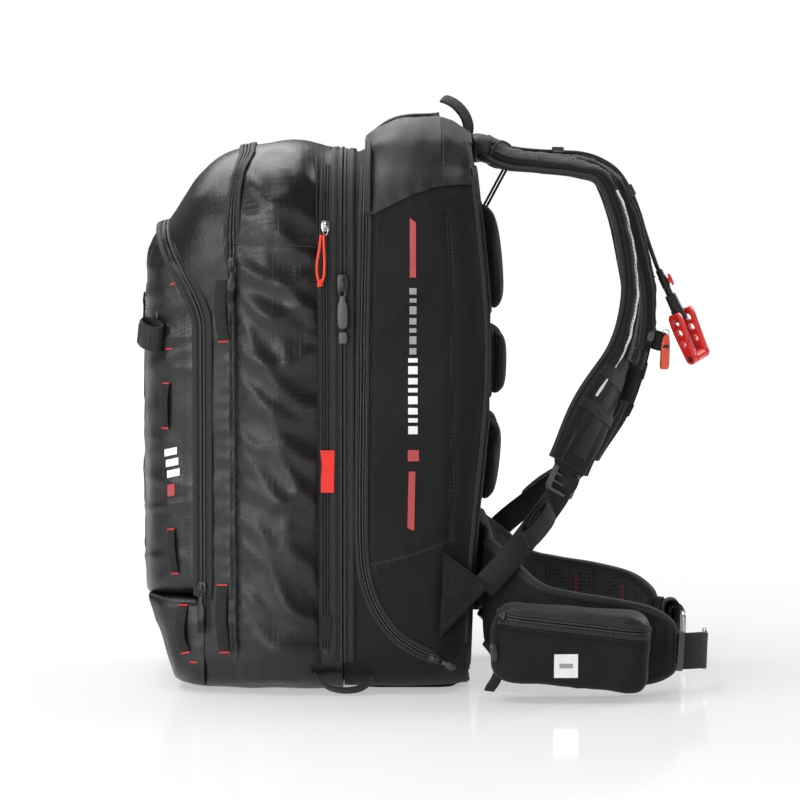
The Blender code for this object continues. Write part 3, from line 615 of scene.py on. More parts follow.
def cross_frame(origin, along, up):
    """(point, width, normal) and the direction along, for small square things set on a surface."""
    along = Vector(along).normalized()
    up = (Vector(up) - Vector(up).dot(along) * along).normalized()
    return Vector(origin), along.cross(up).normalized(), up, along


def block(piece, origin, along, up, size, look, soft=0.25, ends=0.6):
    """A small rounded block: length along, width across, height up, tapered at both ends."""
    point, across, up, along = cross_frame(origin, along, up)
    length, width, height = size
    rows = []
    for share, scale in ((0, ends), (0.12, 0.92), (0.3, 1), (0.7, 1), (0.88, 0.92), (1, ends)):
        centre = point + along * length * (share - 0.5)
        flat = super_oval(width / 2 * scale, height / 2 * scale, 2 + 2 / max(soft, 0.05), 16)
        rows.append(lay((centre, across, up), flat))
    piece.sweep(rows, look)


# ---------------------------------------------------------------- bag shells
# The same sections as the CAD solids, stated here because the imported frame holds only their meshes.
FRONT_STATIONS = (
    (0.0006, 0.0006, 0.1530, 0.535), (0.016, 0.016, 0.1535, 0.536), (0.044, 0.044, 0.1570, 0.5425),
    (0.079, 0.079, 0.1570, 0.5385), (0.097, 0.119, 0.1550, 0.529), (0.112, 0.144, 0.1510, 0.510),
    (0.125, 0.163, 0.1470, 0.481), (0.1372, 0.1762, 0.1425, 0.4625),
)
POCKET_STATIONS = (
    (0.1372, 0.1762, 0.1425, 0.4625), (0.155, 0.186, 0.138, 0.453), (0.175, 0.193, 0.129, 0.440),
    (0.190, 0.1965, 0.113, 0.425), (0.198, 0.199, 0.086, 0.400),
)
AIRBAG_STATIONS = (
    (0.00, 0.1530, 0.535), (0.09, 0.1535, 0.5335), (0.16, 0.1550, 0.535), (0.30, 0.1570, 0.546),
    (0.55, 0.1570, 0.555), (0.80, 0.1530, 0.552), (1.00, 0.1430, 0.542),
)
LEAN_START = 0.36


def back_x(z):
    """Where the bag's back lies at a height: curved to the wearer's lower back."""
    return 0.061 + 0.021 * math.exp(-(((z - 0.335) / 0.17) ** 2))


def outline(half, low, high, low_corner=0.045, high_corner=0.085, counts=(12, 12, 84, 22, 18)):
    """(y, z) around a bag section from the bottom middle, up the left side, over and down the right."""
    bottom, corner, wall, shoulder, top = counts
    run = [((half - low_corner) * k / bottom, low) for k in range(bottom)]
    for k in range(corner):
        t = -pi / 2 + pi / 2 * k / corner
        run.append((half - low_corner * (1 - cos(t)), low + low_corner * (1 + sin(t))))
    for k in range(wall):
        run.append((half, mix(low + low_corner, high - high_corner, k / wall)))
    for k in range(shoulder):
        t = pi / 2 * k / shoulder
        run.append((half - high_corner * (1 - cos(t)), high - high_corner * (1 - sin(t))))
    for k in range(top + 1):
        run.append(((half - high_corner) * (1 - k / top), high))
    return run + [(-y, z) for y, z in run[-2:0:-1]]


def lean_x(side, top, high):
    """x of a section at a height, which leans back from LEAN_START up to its top."""
    return lambda z: ZIP_X - mix(side, top, smooth((z - LEAN_START) / (high - LEAN_START)))


def bag_rows(stations, count, low=0.0005, low_corner=0.045, high_corner=0.085):
    """Rows around the bag, from the zip's plane to the front."""
    rows = []
    for j in range(count + 1):
        t = (len(stations) - 1) * j / count
        side, top, half, high = at_station(stations, t)
        x_at = lean_x(side, top, high)
        rows.append([Vector((x_at(z), y, z)) for y, z in outline(half, low, high, low_corner, high_corner)])
    return rows


def close_front(row, steps, crown):
    """Rows that close a section with a softly crowned face, column by column."""
    count = len(row)
    return [
        [row[k].lerp(row[(count - k) % count], 0.5 * j / steps)
         + Vector((-crown * sin(pi / 2 * j / steps), 0, 0)) for k in range(count)]
        for j in range(1, steps + 1)
    ]


def shell(name, body, rows, steps, crown, look="coated"):
    """A bag section's skin, closed at its last row; it still has to be finished."""
    piece = Piece(name, body, look)
    piece.sweep(rows + close_front(rows[-1], steps, crown), caps=False)
    return piece


def line_distance(flat, line):
    """For each 2D point: distance to a polyline, and the length along it of the nearest spot."""
    best = np.full(len(flat), 1e9)
    along = np.zeros(len(flat))
    run = 0.0
    for a, b in zip(line, line[1:]):
        a, b = np.array(a, float), np.array(b, float)
        d = b - a
        size = np.hypot(*d)
        t = np.clip(((flat - a) @ d) / (size * size), 0, 1)
        gap = np.hypot(*(flat - a - t[:, None] * d).T)
        closer = gap < best
        best[closer] = gap[closer]
        along[closer] = run + t[closer] * size
        run += size
    return best, along


def step_up(values, low, high):
    """0 below low, 1 above high and smooth between, for an array."""
    t = np.clip((values - low) / (high - low), 0, 1)
    return t * t * (3 - 2 * t)


def noise_of(points, scale, seed=0.0):
    """Smooth noise at each point, about -1 to 1."""
    return np.array([noise.noise(Vector(p) * scale + Vector((seed, seed * 0.7, -seed))) for p in points])


def ridged(points, along, across, turn, seed):
    """Long soft folds, running at an angle in the side plane."""
    c, s = cos(radians(turn)), sin(radians(turn))
    found = []
    for x, y, z in points:
        a, b = (x * c + z * s), (-x * s + z * c)
        warp = noise.noise(Vector((x * 9, y * 4, z * 9 + seed))) * 0.35
        value = noise.noise(Vector((a * along, b * across + warp, seed + y * 6)))
        found.append(1 - abs(value) * 2.2)
    return np.array(found)


def folds(points, along, across, turn, seed, power=2):
    """The ridges alone, 0 to 1; a higher power makes them narrower."""
    return np.clip(ridged(points, along, across, turn, seed), 0, 1) ** power


def relief(made, shape):
    """Moves each vertex along its normal by what the shape function gives for all of them."""
    mesh = made.data
    count = len(mesh.vertices)
    points = np.empty(count * 3)
    normals = np.empty(count * 3)
    mesh.vertices.foreach_get("co", points)
    mesh.vertex_normals.foreach_get("vector", normals)
    points, normals = points.reshape(-1, 3), normals.reshape(-1, 3)
    moved = points + normals * shape(points, normals)[:, None]
    mesh.vertices.foreach_set("co", moved.ravel())
    mesh.update()
    return made


class Skin:
    """Finds points on finished shells, to lay seams and zips on them."""

    def __init__(self, *objects):
        self.trees = []
        for made in objects:
            mesh = made.data
            self.trees.append(BVHTree.FromPolygons(
                [v.co.copy() for v in mesh.vertices], [tuple(p.vertices) for p in mesh.polygons]))

    def cast(self, origin, direction):
        best = None
        for tree in self.trees:
            spot, normal, _, gap = tree.ray_cast(Vector(origin), Vector(direction).normalized())
            if spot is not None and (best is None or gap < best[2]):
                best = (spot, normal if normal.dot(Vector(direction)) < 0 else -normal, gap)
        return best

    def side(self, points, hand, step=0.004):
        """Frames along (x, z) points, laid on the side that hand (-1 right, +1 left) names."""
        path = resample([(x, 0, z) for x, z in points], step)
        spots, normals = [], []
        for p in path:
            hit = self.cast((p.x, hand * OUTSIDE, p.z), (0, -hand, 0))
            if hit:
                spots.append(hit[0])
                normals.append(hit[1])
        return frames_by_normal(spots, soften(normals, 2))

    def front(self, points, step=0.004):
        """Frames along (y, z) points, laid on the front of the bag."""
        spots, normals = [], []
        for p in resample([(0, y, z) for y, z in points], step):
            hit = self.cast((-0.9, p.y, p.z), (1, 0, 0))
            if hit:
                spots.append(hit[0])
                normals.append(hit[1])
        return frames_by_normal(spots, soften(normals, 2))

    def over(self, x_at, step=0.004, low=0.03):
        """Frames from low on the right side, over the top, to low on the left, at x_at(z)."""
        spots, normals = [], []
        for k in range(601):
            turn = mix(-pi * 0.86, pi * 0.86, k / 600)
            aim = Vector((0, sin(turn), cos(turn)))
            hit = None
            x = x_at(0.5)
            for _ in range(3):
                hit = self.cast(Vector((x, 0, 0.30)) + aim * 0.8, -aim)
                if hit is None:
                    break
                x = x_at(hit[0].z)
            if hit and hit[0].z >= low:
                spots.append(hit[0])
                normals.append(hit[1])
        path = resample(spots, step, smoothly=False)
        return frames_by_normal(path, soften(carried(path, spots, normals), 4))


def soften(vectors, reach):
    """Each direction averaged with its neighbours."""
    last = len(vectors) - 1
    return [
        sum((vectors[min(max(k + j, 0), last)] for j in range(-reach, reach + 1)), Vector()).normalized()
        for k in range(len(vectors))
    ]


TOP_ZIP = ((-0.1590, 0.5300), (-0.1655, 0.5101), (-0.1690, 0.4906), (-0.1722, 0.4516), (-0.1712, 0.4180))
PUCKER_SEAM = TOP_ZIP[-2:] + ((-0.1705, 0.30), (-0.1703, 0.16), (-0.1695, 0.040))
CROSS_SEAM = ((-0.1712, 0.4405), (-0.125, 0.4425), (-0.0760, 0.4385))
STRIP_SEAM = ((-0.0905, 0.528), (-0.0880, 0.405), (-0.0875, 0.20), (-0.0868, 0.030))
FOLDS = (  # on the side panel: start x, z, end x, z, width, height
    (-0.170, 0.425, -0.130, 0.402, 0.007, 0.0030), (-0.130, 0.402, -0.090, 0.418, 0.008, 0.0026),
    (-0.168, 0.398, -0.118, 0.360, 0.009, 0.0032), (-0.150, 0.372, -0.098, 0.385, 0.006, 0.0020),
    (-0.170, 0.345, -0.128, 0.322, 0.008, 0.0030), (-0.128, 0.322, -0.090, 0.343, 0.010, 0.0026),
    (-0.162, 0.300, -0.140, 0.276, 0.007, 0.0022), (-0.145, 0.290, -0.096, 0.262, 0.010, 0.0026),
    (-0.170, 0.262, -0.130, 0.238, 0.008, 0.0028), (-0.118, 0.245, -0.090, 0.225, 0.007, 0.0018),
    (-0.168, 0.214, -0.122, 0.188, 0.009, 0.0030), (-0.150, 0.180, -0.100, 0.205, 0.008, 0.0022),
    (-0.170, 0.160, -0.138, 0.128, 0.008, 0.0028), (-0.128, 0.150, -0.092, 0.122, 0.009, 0.0022),
    (-0.168, 0.112, -0.130, 0.078, 0.009, 0.0028), (-0.136, 0.098, -0.094, 0.070, 0.008, 0.0020),
    (-0.160, 0.062, -0.112, 0.042, 0.008, 0.0018), (-0.165, 0.520, -0.120, 0.470, 0.012, 0.0022),
    (-0.150, 0.470, -0.100, 0.500, 0.010, 0.0020),
)


def front_relief(points, normals):
    """Side panel pillowed between its seams, folds across it, and puckered seams."""
    flat = points[:, [0, 2]]
    x, z = points[:, 0], points[:, 2]
    wall = step_up(np.abs(normals[:, 1]), 0.45, 0.85)
    panel = np.clip((x + 0.171) / 0.084, 0, 1)
    out = 0.0042 * np.sin(pi * panel) * wall
    body = step_up(x, -0.176, -0.160) * (1 - step_up(x, -0.094, -0.084)) * wall
    for x0, z0, x1, z1, width, height in FOLDS:
        gap, run = line_distance(flat, ((x0, z0), ((x0 + x1) / 2, (z0 + z1) / 2 - 0.004), (x1, z1)))
        size = math.hypot(x1 - x0, z1 - z0)
        ends = np.sin(pi * np.clip(0.08 + 0.84 * run / size, 0, 1))
        out += 1.7 * height * np.exp(-np.abs(gap / (0.9 * width)) ** 1.3) * ends * body
    broad = folds(points, 8, 22, -34, 3.1)
    narrow = folds(points, 12, 40, -50, 7.7, 3)
    out += (mix(0.0058, 0.0040, step_up(z, 0.20, 0.36)) * broad + 0.0018 * narrow) * body
    gusset = (1 - step_up(x, -0.178, -0.168)) * wall
    out += 0.0011 * folds(points, 8, 60, 4, 1.3) * gusset
    out += 0.0013 * noise_of(points, 26, 2.0) + 0.0005 * noise_of(points, 80, 5.0) * body
    crown = step_up(normals[:, 2], 0.3, 0.8)
    out += 0.0034 * folds(points, 9, 22, 18, 9.0) * crown
    for seam, dent, ripple in ((PUCKER_SEAM, 0.0030, 0.0013), (CROSS_SEAM, 0.0016, 0.0004),
                               (STRIP_SEAM, 0.0016, 0.0003)):
        gap, run = line_distance(flat, seam)
        wobble = np.array([noise.noise(Vector((s * 45, 3.0, 0))) for s in run])
        near = np.exp(-((gap / 0.012) ** 2)) * wall
        out += ripple * near * np.sin(2 * pi * run / 0.0145 + 4 * wobble)
        out -= dent * np.exp(-((gap / 0.0032) ** 2)) * wall
    keep = step_up(ZIP_X - x, 0.001, 0.014)
    return out * keep


def pocket_relief(points, normals):
    """Slack cloth on the tool pocket, gathered near its top edge."""
    wall = step_up(np.abs(normals[:, 1]), 0.3, 0.8)
    z = points[:, 2]
    edge = step_up(-0.204 - points[:, 0], 0.0, 0.012)
    out = 0.0022 * folds(points, 7, 34, 12, 4.4)
    out += 0.0016 * noise_of(points, 22, 8.0) + 0.0006 * noise_of(points, 70, 1.0)
    pull = np.exp(-(((z - 0.445) / 0.03) ** 2)) * 0.0015 * np.sin(points[:, 1] * 2 * pi / 0.022)
    return (out * (0.6 + 0.4 * wall) + pull * (1 - wall)) * edge


def airbag_relief(points, normals):
    """Matte half: a shallow fold behind each seam and slack towards the back edge."""
    flat = points[:, [0, 2]]
    wall = step_up(np.abs(normals[:, 1]), 0.45, 0.85)
    out = 0.0018 * folds(points, 7, 16, 62, 2.2) * wall
    out += 0.0011 * noise_of(points, 20, 3.0) + 0.0004 * noise_of(points, 75, 6.0)
    for seam, dent in ((D_UPPER_SEAM, 0.0016), (D_LOWER_SEAM, 0.0013), (BACK_DART, 0.0018)):
        gap, run = line_distance(flat, seam)
        out -= dent * np.exp(-((gap / 0.003) ** 2)) * wall
        out += 0.0005 * np.exp(-((gap / 0.012) ** 2)) * np.sin(2 * pi * run / 0.017) * wall
    keep = step_up(points[:, 0] - ZIP_X, 0.001, 0.012)
    rear = step_up(normals[:, 0], 0.4, 0.8)
    return out * keep * (1 - rear) - 0.0012 * rear


D_ZIP = ((-0.0405, 0.521), (-0.0425, 0.44), (-0.0440, 0.359), (-0.0452, 0.24), (-0.0455, 0.150),
         (-0.0405, 0.110), (-0.0295, 0.082), (-0.0130, 0.0595), (0.0050, 0.0465), (0.0250, 0.0370))
D_UPPER_SEAM = ((-0.0343, 0.4735), (0.0018, 0.4916), (0.0271, 0.5004), (0.0480, 0.5023))
D_LOWER_SEAM = ((-0.0375, 0.1287), (0.0047, 0.1385), (0.0475, 0.1541))
BACK_DART = ((0.0385, 0.478), (0.0430, 0.40), (0.0440, 0.30), (0.0425, 0.20), (0.0400, 0.1508))


def make_front_shell():
    """The front bag's fabric."""
    rows = bag_rows(FRONT_STATIONS, 58)
    made = shell("front_bag_fabric", "front_bag", rows, 8, 0.0).finish(weld=True)
    relief(made, front_relief)
    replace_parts(made, "front_bag_shell", "full_zip_tape")
    return made


def make_pocket_shell():
    """The tool pocket's bulging fabric."""
    rows = bag_rows(POCKET_STATIONS, 26, 0.0945, 0.02, 0.075)
    made = shell("tool_pocket_fabric", "tool_pocket", rows, 10, 0.0035).finish(weld=True)
    relief(made, pocket_relief)
    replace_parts(made, "tool_pocket_panel")
    return made


def make_toe():
    """Lower front panel, under the tool pocket."""
    stations = ((0.0, 0.1425, 0.003), (0.4, 0.1385, 0.004), (0.8, 0.1275, 0.006), (1.0, 0.1125, 0.0095))
    rows = []
    for j in range(17):
        t = 3 * j / 16
        share, half, low = at_station(stations, t)
        points = outline(half, low, 0.0932, 0.030, 0.012, (10, 10, 14, 6, 14))
        rows.append([Vector((ZIP_X - mix(0.1372, 0.165 + 0.3 * z, share), y, z)) for y, z in points])
    made = shell("lower_front_fabric", "front_bag", rows, 9, 0.002).finish(weld=True)

    def slack(points, normals):
        return 0.0016 * noise_of(points, 24, 4.0) + 0.0018 * folds(points, 8, 30, 20, 6.0)

    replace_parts(relief(made, slack), "lower_front_panel")
    return made


def airbag_rows(count):
    """Rows from the zip to the back edge, with a bound turn on to the back wall."""
    rows = []
    for j in range(count + 1):
        t = (len(AIRBAG_STATIONS) - 1) * j / count
        share, half, high = at_station(AIRBAG_STATIONS, t)
        rows.append([
            Vector((mix(ZIP_X + 0.0008, back_x(z) - 0.012, share), y, z))
            for y, z in outline(half, 0.0032, high)
        ])
    for before, half, high in ((0.0085, 0.1428, 0.5410), (0.005, 0.1422, 0.5400), (0.002, 0.1405, 0.5385),
                               (0.0006, 0.1375, 0.5355)):
        rows.append([Vector((back_x(z) - before, y, z)) for y, z in outline(half, 0.0045, high)])
    return rows


def seam_z(x):
    """Height of the seam between the side panel and the hood."""
    line = [(x0, z0) for x0, z0 in D_UPPER_SEAM]
    if x <= line[0][0]:
        return line[0][1]
    for (x0, z0), (x1, z1) in zip(line, line[1:]):
        if x <= x1:
            return mix(z0, z1, (x - x0) / (x1 - x0))
    return line[-1][1]


def thicken(made, wall):
    """Gives a sheet its thickness, with crisp edges."""
    modifier = made.modifiers.new("thickness", "SOLIDIFY")
    modifier.thickness, modifier.offset = wall, -1
    flatten(made)
    set_smooth(made.data)


def flatten(made):
    """Applies the piece's modifiers to its mesh."""
    looks = [slot for slot in made.data.materials]
    shown = made.evaluated_get(bpy.context.evaluated_depsgraph_get())
    mesh = bpy.data.meshes.new_from_object(shown)
    made.modifiers.clear()
    made.data = mesh
    mesh.materials.clear()
    for look in looks:
        mesh.materials.append(look)


def make_airbag_shell():
    """The matte half: its skin, open on top under the burst flap, and its back wall."""
    piece = shell("airbag_half_fabric", "pack", airbag_rows(44), 8, 0.0, "matte")
    gone = [f for f in piece.bm.faces if all(
        -0.033 < v.co.x < 0.025 and abs(v.co.y) < 0.104 and v.co.z > 0.51 for v in f.verts)]
    bmesh.ops.delete(piece.bm, geom=gone, context="FACES")
    piece.index("hood")
    made = relief(piece.finish(weld=True), airbag_relief)
    # Faces above the upper seam take the hood cloth: a real panel, made lighter as painted top light.
    for face in made.data.polygons:
        if face.center.z > seam_z(face.center.x) and face.center.x > -0.0355:
            face.material_index = 1
    thicken(made, 0.0012)
    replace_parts(made, "airbag_shell")
    return made


FLAP_STATIONS = ((0.0244, 0.547), (0.034, 0.556), (0.054, 0.566), (0.075, 0.5675), (0.0962, 0.5676))
HOOD_STATIONS = ((0.0955, 0.567), (0.108, 0.563), (0.119, 0.557), (0.1275, 0.551))
HOOD_HALF, HOOD_CORNER = 0.161, 0.088
HOOD_STRAIGHT = 0.53  # below this height a section is stretched down to the side seam
HOOD_LOOSE = 0.545  # below this height the hood is drawn onto the bag


def hood_arc(x, high, skirt):
    """A section across the hood, from its skirt on the left, over the top, to the right."""
    steps = 20
    centre = high - HOOD_CORNER
    lowest = math.asin(max(skirt - centre, 0) / HOOD_CORNER)
    half = [(HOOD_HALF, mix(skirt, centre, k / 6)) for k in range(6)] if skirt < centre else []
    for k in range(steps):
        turn = mix(lowest, pi / 2, k / steps)
        half.append((HOOD_HALF - HOOD_CORNER * (1 - cos(turn)), centre + HOOD_CORNER * sin(turn)))
    top = [((HOOD_HALF - HOOD_CORNER) * (1 - k / 12), high) for k in range(13)]
    run = half + top
    run += [(-y, z) for y, z in run[-2::-1]]
    return [Vector((x, y, z)) for y, z in run]


def hood_rows(stations, count):
    """Sections across the hood, with their lower ends on the side seam."""
    rows = []
    for j in range(count + 1):
        t = (len(stations) - 1) * j / count
        depth, high = at_station(stations, t)
        skirt = seam_z(ZIP_X + depth) - 0.0015
        arc = hood_arc(ZIP_X + depth, high, high - HOOD_CORNER - 0.001)
        low = arc[0].z
        for p in arc:
            if p.z <= HOOD_STRAIGHT:
                p.z = mix(skirt, HOOD_STRAIGHT, (p.z - low) / (HOOD_STRAIGHT - low))
        rows.append(arc)
    return rows


def hood_relief(points, normals):
    """Soft folds, gathered behind the front edge; the skirt lies lower."""
    out = 0.0016 * noise_of(points, 24, 1.0) + 0.0006 * noise_of(points, 80, 2.0)
    skirt = 1 - step_up(points[:, 2], 0.480, 0.560)
    gathered = 1 - step_up(points[:, 0], ZIP_X + 0.034, ZIP_X + 0.062)
    out += 0.0022 * folds(points, 9, 44, 24, 2.0) * gathered
    return out + 0.0018 * folds(points, 8, 20, 70, 6.0) - 0.0006 - 0.0019 * skirt


def hug(made, below):
    """Brings the hood's lower edges down onto the cloth of the bag."""
    for vertex in made.data.vertices:
        p = vertex.co
        hand = math.copysign(1, p.y)
        hit = below.cast((p.x, hand * OUTSIDE, p.z), (0, -hand, 0))
        if p.z < HOOD_LOOSE and abs(p.y) > 0.1 and hit:
            share = smooth((HOOD_LOOSE - p.z) / 0.030)
            p.y = mix(p.y, hit[0].y + hand * 0.0022, share)


def make_hood(airbag_half):
    """Burst flap and rear hood, laid over the airbag half."""
    below = Skin(airbag_half)
    for name, body, node, stations, count in (
        ("burst_flap_fabric", "burst_flap", "burst_flap", FLAP_STATIONS, 26),
        ("hood_rear_fabric", "pack", "hood_rear", HOOD_STATIONS, 16),
    ):
        # The hood cloth is lighter than the matte cloth: painted top light.
        piece = Piece(name, body, "hood")
        piece.sweep(hood_rows(stations, count), closed=False)
        made = relief(piece.finish(), hood_relief)
        hug(made, below)
        thicken(made, 0.0014)
        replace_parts(made, node)


# ---------------------------------------------------------------- cord
SIDE_CORD = (
    (-0.0850, -0.1650, 0.4520), (-0.0862, -0.1652, 0.440), (-0.0888, -0.1652, 0.424),
    (-0.0885, -0.1652, 0.412), (-0.0858, -0.1652, 0.4050), (-0.0825, -0.1652, 0.410),
    (-0.0815, -0.1652, 0.424), (-0.0820, -0.1652, 0.440), (-0.0822, -0.1650, 0.4520),
)


def curve_points(points, steps):
    """A smooth curve through the given points."""
    return [catmull([Vector(p) for p in points], k / steps) for k in range((len(points) - 1) * steps + 1)]


def make_side_cord():
    """The pull loop on the side zip's slider, with its knot."""
    run = curve_points(SIDE_CORD, 4)
    data = bpy.data.curves.new("side_zip_pull_cord", "CURVE")
    data.dimensions = "3D"
    data.bevel_depth, data.bevel_resolution, data.use_fill_caps = 0.0012, 3, True
    spline = data.splines.new("POLY")
    spline.points.add(len(run) - 1)
    for target, point in zip(spline.points, run):
        target.co = (*point, 1)
    data.materials.append(LOOK["cord"])
    cord = bpy.data.objects.new("side_zip_pull_cord", data)
    bpy.context.scene.collection.objects.link(cord)
    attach(cord, "side_zip")
    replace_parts(cord, "side_zip_cord")
    knot = Piece("side_zip_cord_knot", "side_zip", "cord")
    turns = 44
    spiral = []
    for k in range(turns + 1):
        t = 2 * pi * k / 18
        spiral.append(Vector((-0.0857 + 0.0021 * cos(t), -0.1652 + 0.0021 * sin(t),
                              0.4085 - 0.0064 * k / turns)))
    knot.rod(spiral, UP, disc(0.0011, 8))
    made = knot.finish()
    length = sum((b - a).length for a, b in zip(run, run[1:]))
    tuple(run[0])


# ---------------------------------------------------------------- zips, seams and webbing on the bag
def refined(frames, step):
    """The same frames, closer together."""
    far = lengths([f[0] for f in frames])
    count = max(2, round(far[-1] / step))
    found, k = [], 0
    for j in range(count + 1):
        s = far[-1] * j / count
        while k < len(far) - 2 and far[k + 1] < s:
            k += 1
        f = (s - far[k]) / max(far[k + 1] - far[k], 1e-9)
        (p, w, n), (q, x, m) = frames[k], frames[k + 1]
        found.append((p.lerp(q, f), w.lerp(x, f).normalized(), n.lerp(m, f).normalized()))
    return found


def coil(piece, frames, across, lift, width, pitch=0.0027, height=0.0017):
    """One half of a zip's coil, a rib for each turn."""
    fine = refined(shifted(frames, across, lift), pitch / 3)
    full, low = strip(width, height, 2), strip(width * 0.82, height * 0.5, 2)
    piece.sweep(placed(fine, [low if k % 3 == 2 else full for k in range(len(fine))]), "coil")


def zip_half(piece, frames, hand, width, lift=0.0006, bind=0.0048, teeth=0.0030):
    """Tape, bound edge and coil on one side (hand) of a zip's middle line."""
    tape = shifted(frames, hand * (width / 2 + 0.0002) / 2, lift)
    piece.sweep(placed(tape, strip(width / 2 - 0.0004, 0.0008, 2)), "tape")
    edge = shifted(frames, hand * (width / 2 - bind / 2), lift + 0.0007)
    piece.sweep(placed(edge, strip(bind, 0.0019)), "binding")
    piece.stitches(frames, hand * (width / 2 - bind + 0.0004), lift + 0.0017, look="thread")
    coil(piece, frames, hand * (teeth / 2 + 0.0002), lift + 0.0008, teeth)


def zip_strip(name, body, frames, width, **extra):
    """A closed zip, both halves on one body."""
    piece = Piece(name, body, "tape")
    for hand in (-1, 1):
        zip_half(piece, frames, hand, width, **extra)
    return piece.finish()


def seam(piece, frames, offsets=(-0.0022, 0.0022), lift=0.0002):
    """Rows of stitches beside a line."""
    for across in offsets:
        piece.stitches(frames, across, lift)


def piping(piece, frames, radius=0.0016, lift=0.0006, look="binding"):
    """A round bead along a line."""
    piece.sweep(placed(shifted(frames, 0, lift), disc(radius, 8)), look)


PULL_SHAPE = (  # along a zip pull: share of its length, half width, half thickness
    (0, 0.0016, 0.0008), (0.06, 0.0024, 0.0011), (0.30, 0.0022, 0.0011), (0.42, 0.0036, 0.0013),
    (0.55, 0.0042, 0.0015), (0.86, 0.0040, 0.0014), (0.97, 0.0028, 0.0012), (1, 0.0014, 0.0007),
)


def slider(name, body, frame, nodes, scale=1.0, look="plastic", pull=0.026, hang=None, tail=0.0):
    """A zip slider: body, bridge and a pull on a wire loop. Its frame's normal is up from the tape and
    its width lies across the zip; the pull hangs down, or the way that hang gives."""
    point, across, up = frame
    along = up.cross(across).normalized()
    if along.z > 0:
        along = -along
    piece = Piece(name, body, look)
    base = point + up * 0.0026 * scale
    block(piece, base, along, up, (0.0125 * scale, 0.0100 * scale, 0.0034 * scale), look, 1.4, 0.72)
    arch = []
    for k in range(9):
        rise, run = 0.0014 + 0.0026 * sin(pi * k / 8), mix(-0.0045, 0.0045, k / 8)
        arch.append(base + up * rise * scale + along * run * scale)
    piece.rod(arch, across, strip(0.0032 * scale, 0.0013 * scale), look)
    down = (hang or along).normalized()
    start = base + up * 0.0034 * scale + along * 0.0005
    ring = [start + down * (0.0045 - 0.0055 * cos(2 * pi * k / 16)) * scale
            + across * 0.0028 * scale * sin(2 * pi * k / 16) for k in range(17)]
    piece.rod(ring, up, disc(0.00065 * scale, 6), look)
    if pull:
        tab = start + down * 0.0080 * scale + up * 0.0004
        rows = []
        for share, half, thick in PULL_SHAPE:
            centre = tab + down * pull * share
            rows.append(lay((centre, across, up), super_oval(half * scale, thick * scale, 2.8, 16)))
        piece.sweep(rows, "plastic")
    if tail:
        end = start + down * (0.0080 * scale + pull + tail)
        run = [start + down * (0.0080 * scale + pull - 0.004), end]
        piece.rod(run, across, strip(0.0070, 0.0018), "web", 0.004)
    made = piece.finish()
    if nodes:
        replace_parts(made, *nodes)
    return made


def webbing_loop(piece, frames, width, thick=0.0016, bow=0.0035, tacks=(True, True)):
    """A short length of webbing, sewn at both ends and standing proud between them."""
    last = len(frames) - 1
    raised = [(p + n * (0.0012 + bow * sin(pi * k / last) ** 0.7 if 0 < k < last else 0.0012), w, n)
              for k, (p, w, n) in enumerate(frames)]
    run = [p for p, _, _ in raised]
    sides = frames_by_normal(run, [n for _, _, n in raised])
    piece.sweep(placed(sides, strip(width, thick)), "web")
    for use, k in zip(tacks, (0, last)):
        if use:
            p, w, n = sides[k]
            piece.bartack((p + n * thick / 2, w, n), width * 0.92)


def table_x(line):
    """x as a function of z through (x, z) points."""
    points = sorted((z, x) for x, z in line)

    def x_at(z):
        if z <= points[0][0]:
            return points[0][1]
        for (z0, x0), (z1, x1) in zip(points, points[1:]):
            if z <= z1:
                return mix(x0, x1, (z - z0) / (z1 - z0))
        return points[-1][1]

    return x_at


def make_full_zip(front, back):
    """The full-length zip, half of it on each side of the opening."""
    for name, body, skin_, hand in (("full_zip_front_half", "front_bag", front, -1),
                                    ("full_zip_back_half", "pack", back, 1)):
        frames = skin_.over(lambda z, hand=hand: ZIP_X + hand * 0.0062, 0.004, 0.030)
        frames = [(Vector((ZIP_X, p.y, p.z)), Vector((1, 0, 0)),
                   Vector((0, n.y, n.z)).normalized()) for p, _, n in frames]
        piece = Piece(name, body, "tape")
        zip_half(piece, frames, hand, 0.0225, 0.0012, 0.0052, 0.0034)
        piece.finish()


def pocket_frames():
    """Frames around the tool pocket's edge, from low on the right to low on the left."""
    side, top, half, high = FRONT_STATIONS[-1]
    x_at = lean_x(side, top, high)
    around = outline(half, 0.0945, high, 0.004, 0.085, (4, 2, 84, 22, 18))
    count = len(around) // 2
    run = [Vector((x_at(z), y, z)) for y, z in around]
    run = run[count + 1:] + run[:count + 1]
    run = [p for p in run if p.z > 0.0955]
    normals = []
    for k, p in enumerate(run):
        a, b = run[max(k - 1, 0)], run[min(k + 1, len(run) - 1)]
        tangent = (b - a).normalized()
        out = Vector((0, p.y, (p.z - 0.377) if p.z > 0.377 else 0.0)).normalized()
        out = (out - out.dot(tangent) * tangent).normalized()
        normals.append((out + Vector((-0.30, 0, 0))).normalized())
    path = resample(run, 0.004, smoothly=False)
    return frames_by_normal(path, soften(carried(path, run, normals), 3))


def make_pocket_zip():
    """The tool pocket's U-shaped zip, half of it on each side of the opening."""
    frames = shifted(pocket_frames(), 0.0, 0.0008)
    for name, body, hand in (("tool_zip_bag_half", "front_bag", 1),
                             ("tool_zip_pocket_half", "tool_pocket", -1)):
        piece = Piece(name, body, "tape")
        zip_half(piece, frames, hand, 0.0205, 0.0010, 0.0052, 0.0032)
        piece.finish()
    near = [f for f in frames if f[0].y < 0 and f[0].z < 0.108][0]
    slider("tool_zip_slider_body", "tool_zip", (near[0] + near[2] * 0.001, near[1], near[2]),
           ("tool_zip_slider",), 0.95, pull=0.024, tail=0.012)


